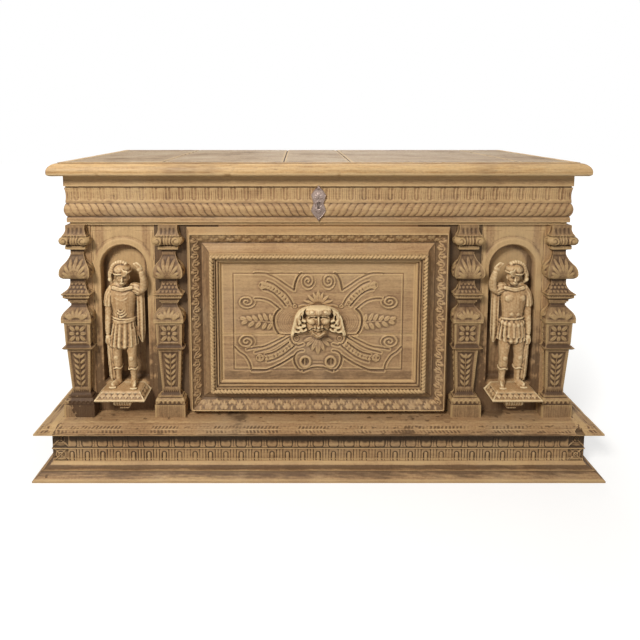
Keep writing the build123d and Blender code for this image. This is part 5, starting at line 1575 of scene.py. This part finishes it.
    # the raised arm, its short sleeve, and the cloak that falls from the elbow to a point
    limb(60, (16, 2, 294, 14, 13), (30, 1, 293, 15.5, 14), (43, 0, 286, 15.5, 14.5), folds=(10, 0.02, 0.08))
    limb(26, (28, 0, 289, 11, 11), (43, -2, 286, 11, 11), (53, -5, 294, 11, 11), (56, -8, 313, 10.4, 10.4),
         (54, -11, 332, 8.8, 8.8), (50, -13, 346, 7, 6.6))
    lump(47, -14, 355, 8.5, 6, 9.5)
    for k in range(4):
        limb(10, (42 + 3.1 * k, -16, 359 + k, 2.2, 2.3), (36 + 3.2 * k, -18, 366 + k * 1.2, 2.1, 2.2),
             (29 + 3.2 * k, -17, 371 + k * 1.2, 1.8, 1.9))
    limb(70, (37, 8, 286, 12, 9), (38, 9, 250, 12, 9), (38, 10, 200, 12, 9), (37, 11, 160, 12, 10),
         (39, 12, 138, 8, 8), (41, 12, 124, 3, 5), folds=(6, 0.08, 0.22))
    limb(50, (26, 13, 280, 9, 8), (26, 14, 200, 9.5, 9), (26, 14, 150, 9, 9), folds=(6, 0.08, 0.15))
    limb(40, (22, -11, 298, 6, 5), (-7, -16, 292, 6.5, 5), (-34, -11, 298, 6, 5), folds=(5, 0.1, 0.1))
    # neck, head, helmet with peak, neck guard and crest
    limb(24, (-6, 2, 296, 12, 12), (-6, 0, 306, 10.5, 11), (-5, -2, 316, 10.5, 11))
    lump(-5, -6, 329, 17, 18.5, 21)
    lump(-4, -11.5, 314.5, 11, 12, 10)
    limb(12, (-2, -23.5, 330, 2, 2), (-1, -26.5, 323.5, 2.9, 3.1), (-1, -26.5, 320.8, 3.2, 2.9))
    for side in (-1, 1):
        lump(-5 + side * 16.5, -4, 326, 2.8, 4.4, 6.4, 12)
    # calm eyes and mouth, set out by halves and thirds of the face
    for side in (-1, 1):
        lump(-2 + side * 7, -22.2, 330, 3.8, 2.4, 1.9, 12)
    limb(12, (-7.5, -22.4, 315.2, 1.6, 1.6), (-2, -24.4, 314.6, 2.1, 2.1), (3.5, -22.4, 315.2, 1.6, 1.6))
    lump(-7, -3, 351, 23.5, 24, 16.5)
    rim = [(-6.5 + 24 * cos(q), -4 + 24.5 * sin(q), 342 + 2.6 * cos(q), 2.2, 2.2)
           for q in np.linspace(0, 2 * pi, 36)]
    limb(10, *rim)
    limb(24, (-3, -23, 346, 13, 2.9), (6, -30, 346, 10.5, 2.5), (18, -34, 351, 4, 2.1))
    limb(24, (-23, 2, 338, 7.5, 5.5), (-31, 4, 328, 8.5, 4.5), (-38, 4, 320, 6, 3))
    # the crest: a thick comb from the brow over the crown, in short locks
    for k in range(10):
        q = radians(50 + 16 * k)
        cx, cz = -12 + 25 * cos(q), 349 + 24 * sin(q)
        limb(14, (-12 + (cx + 12) * 0.7, -5, 349 + (cz - 349) * 0.7, 5.2, 7), (cx, -6, cz, 6.2, 8),
             (cx + 4 * cos(q + 0.9), -5, cz + 4 * sin(q + 0.9), 3.2, 5))
    limb(30, (-36, -4, 354, 6.5, 7), (-43, -4, 338, 6.5, 7), (-43, -3, 322, 5.5, 6), (-39, -2, 311, 3, 4),
         folds=(6, 0.1, 0.16))
    lump(-43, -5, 321, 6.5, 6.5, 7.5)
    return parts


def partsMesh(name, parts, move, mirror):
    # all tubes as one mesh, then voxels fuse them into a single closed skin
    points, faces, offset = [], [], 0
    for rings in parts:
        rings = rings.copy()
        if mirror:
            rings[..., 0] *= -1
        if signedVolume(rings) < 0:
            rings = rings[:, ::-1]
        rows, count, _ = rings.shape
        index = np.arange(rows * count).reshape(rows, count) + offset
        right = np.roll(index, -1, 1)
        quads = np.stack([index[:-1], right[:-1], right[1:], index[1:]], -1).reshape(-1, 4)
        faces += quads.tolist() + [index[0][::-1].tolist(), index[-1].tolist()]
        points.append(rings.reshape(-1, 3) + move)
        offset += rows * count
    mesh = bpy.data.meshes.new(name)
    mesh.from_pydata((np.concatenate(points) * mm).tolist(), [], faces)
    rough = newObject(name + "Rough", mesh)
    remesh = rough.modifiers.new("fuse", "REMESH")
    remesh.mode = "VOXEL"
    remesh.voxel_size = soldierLook["voxel"]
    soften = rough.modifiers.new("soften", "SMOOTH")
    soften.factor = 0.5
    soften.iterations = 4
    graph = bpy.context.evaluated_depsgraph_get()
    fused = bpy.data.meshes.new_from_object(rough.evaluated_get(graph))
    bpy.data.objects.remove(rough)
    return fused


def vertexValues(mesh, field):
    values = np.empty(len(mesh.vertices) * 3)
    mesh.vertices.foreach_get(field, values)
    return values.reshape(-1, 3)


def soldier(name, midX, tunic, mirror):
    look = soldierLook
    aside = -look["aside"] if mirror else look["aside"]
    move = np.array([midX + aside, wallY - look["axisProud"], ledgeTop + look["foot"] - 0.6])
    fused = partsMesh(name, soldierParts(tunic), move, mirror)
    count = len(fused.vertices)
    co = vertexValues(fused, "co") / mm
    normal = vertexValues(fused, "normal")
    local = co - move
    flip = -1 if mirror else 1
    x, y, z = local[:, 0] * flip, local[:, 1], local[:, 2]
    # a calm, plain face: eyes at half the head's height, nose base and lips below, set by simple shares
    ahead = smooth(-12 - y, 0, 4)
    push = np.zeros(count)
    for side in (-1, 1):
        push -= 2.8 * np.exp(-((x + 2.5 - side * 6.8) / 3.8) ** 2 - ((z - 329.5) / 2.6) ** 2) * ahead
        push += 1.7 * np.exp(-((x + 2.5 - side * 6.8) / 2.3) ** 2 - ((z - 329.3) / 1.4) ** 2) * ahead
    push -= 1.5 * np.exp(-((x + 2) / 5.8) ** 2 - ((z - 315.6) / 1.0) ** 2) * ahead
    push += 1.1 * np.exp(-((x + 2) / 4.8) ** 2 - ((z - 317.4) / 1.1) ** 2) * ahead
    push += 1.1 * np.exp(-((x + 2) / 4.2) ** 2 - ((z - 313.6) / 1.2) ** 2) * ahead
    # tool marks and cloth creases
    push += 0.3 * noiseField(x, z, 113, 22, 2)
    co = co + normal * push[:, None]
    # keep clear of the niche's back
    co[:, 1] = np.minimum(co[:, 1], wallY + nicheLook["inset"] + nicheLook["depth"] + 0.4)
    fused.vertices.foreach_set("co", (co * mm).ravel())
    # hollows and crests from the bend of the skin between neighbours
    edges = np.empty(len(fused.edges) * 2, dtype=np.int32)
    fused.edges.foreach_get("vertices", edges)
    a, b = edges.reshape(-1, 2).T
    mean = co.copy()
    for _ in range(5):
        total = np.zeros_like(mean)
        number = np.bincount(a, minlength=count) + np.bincount(b, minlength=count)
        for axis in range(3):
            total[:, axis] = (np.bincount(a, mean[b, axis], count) + np.bincount(b, mean[a, axis], count))
        mean = total / np.maximum(number, 1)[:, None]
    normal = vertexValues(fused, "normal")
    carve = np.clip(((co - mean) * normal).sum(axis=1) / 0.65, -1, 1)
    fused.name = name
    fused.materials.clear()
    dressPiece(name, fused, carve, "chest", paleLimewood, (name,))
    print(name, len(fused.polygons), "faces")


soldier("soldier_left", -nicheLook["x"], True, False)
soldier("soldier_right", nicheLook["x"], False, True)
print("soldiers carved")


# metres, degrees and millimetres
view = {"place": (-0.0579, -1.5613, 1.0267), "pitch": 5.0, "lens": 26.521875, "sensor": 36, "shiftX": 0.0339,
        "shiftY": -0.25}
cameraData = bpy.data.cameras.new("studioCamera")
cameraData.sensor_width = view["sensor"]
cameraData.lens = view["lens"]
cameraData.shift_x, cameraData.shift_y = view["shiftX"], view["shiftY"]
cameraData.clip_start = 0.05
camera = newObject("studioCamera", cameraData)
camera.location = view["place"]
camera.rotation_euler = (radians(90 - view["pitch"]), 0, 0)
bpy.context.scene.camera = camera

lamps = {
    # where, where it looks, size in metres, watts
    "key": ((-1.5, -2.7, 2.9), (0, 0, 0.45), 1.0, 140),
    "fill": ((2.4, -3.0, 1.3), (0, 0, 0.45), 2.4, 12),
    "top": ((0.2, 0.5, 3.1), (0, 0, 0.8), 2.2, 26),
    "back": ((0.5, 3.0, 2.0), (0, 0, 0.5), 2.6, 30),
}
for name, (place, aim, size, watts) in lamps.items():
    data = bpy.data.lights.new(name, "AREA")
    data.shape = "DISK"
    data.size = size
    data.energy = watts
    lamp = newObject(name, data)
    lamp.location = place
    lamp.rotation_euler = (Vector(aim) - Vector(place)).to_track_quat("-Z", "Y").to_euler()

world = bpy.data.worlds.new("whiteRoom")
bpy.context.scene.world = world
world.use_nodes = True
tree = world.node_tree
tree.nodes.clear()
rays = addNode(tree, "ShaderNodeLightPath")
seen = addNode(tree, "ShaderNodeMath", {"operation": "MAXIMUM"},
               {0: rays.outputs["Is Camera Ray"], 1: rays.outputs["Is Glossy Ray"]})
seenToo = addNode(tree, "ShaderNodeMath", {"operation": "MAXIMUM"},
                  {0: seen.outputs[0], 1: rays.outputs["Is Transmission Ray"]})
level = mapped(tree, seenToo.outputs[0], 0.0, 1.0, 0.2)
background = addNode(tree, "ShaderNodeBackground", {"Color": (1, 1, 1, 1)}, {"Strength": level})
addNode(tree, "ShaderNodeOutputWorld", {}, {"Surface": background.outputs[0]})

floorMesh = bpy.data.meshes.new("studioFloor")
far = 9.0
floorMesh.from_pydata([(-far, -far, 0), (far, -far, 0), (far, far, 0), (-far, far, 0)], [], [(0, 1, 2, 3)])
studioFloor = newObject("studioFloor", floorMesh)
paper, tree, coords = newMaterial("whitePaper")
rays = addNode(tree, "ShaderNodeLightPath")
matt = addNode(tree, "ShaderNodeBsdfDiffuse", {"Color": linear("#b4b2ae")})
# the paper lightens to the background's white with distance from the chest
distance = addNode(tree, "ShaderNodeVectorMath", {"operation": "LENGTH"}, {0: coords}).outputs["Value"]
fade = mapped(tree, distance, 0.9, 2.1, 0.62, 1.0)
glow = addNode(tree, "ShaderNodeMath", {"operation": "MULTIPLY"}, {0: rays.outputs["Is Camera Ray"], 1: fade})
lift = addNode(tree, "ShaderNodeEmission", {"Color": (1, 1, 1, 1)}, {"Strength": glow.outputs[0]})
both = addNode(tree, "ShaderNodeAddShader", {}, {0: matt.outputs[0], 1: lift.outputs[0]})
addNode(tree, "ShaderNodeOutputMaterial", {}, {"Surface": both.outputs[0]})
floorMesh.materials.append(paper)

bpy.context.scene.view_settings.view_transform = "Standard"
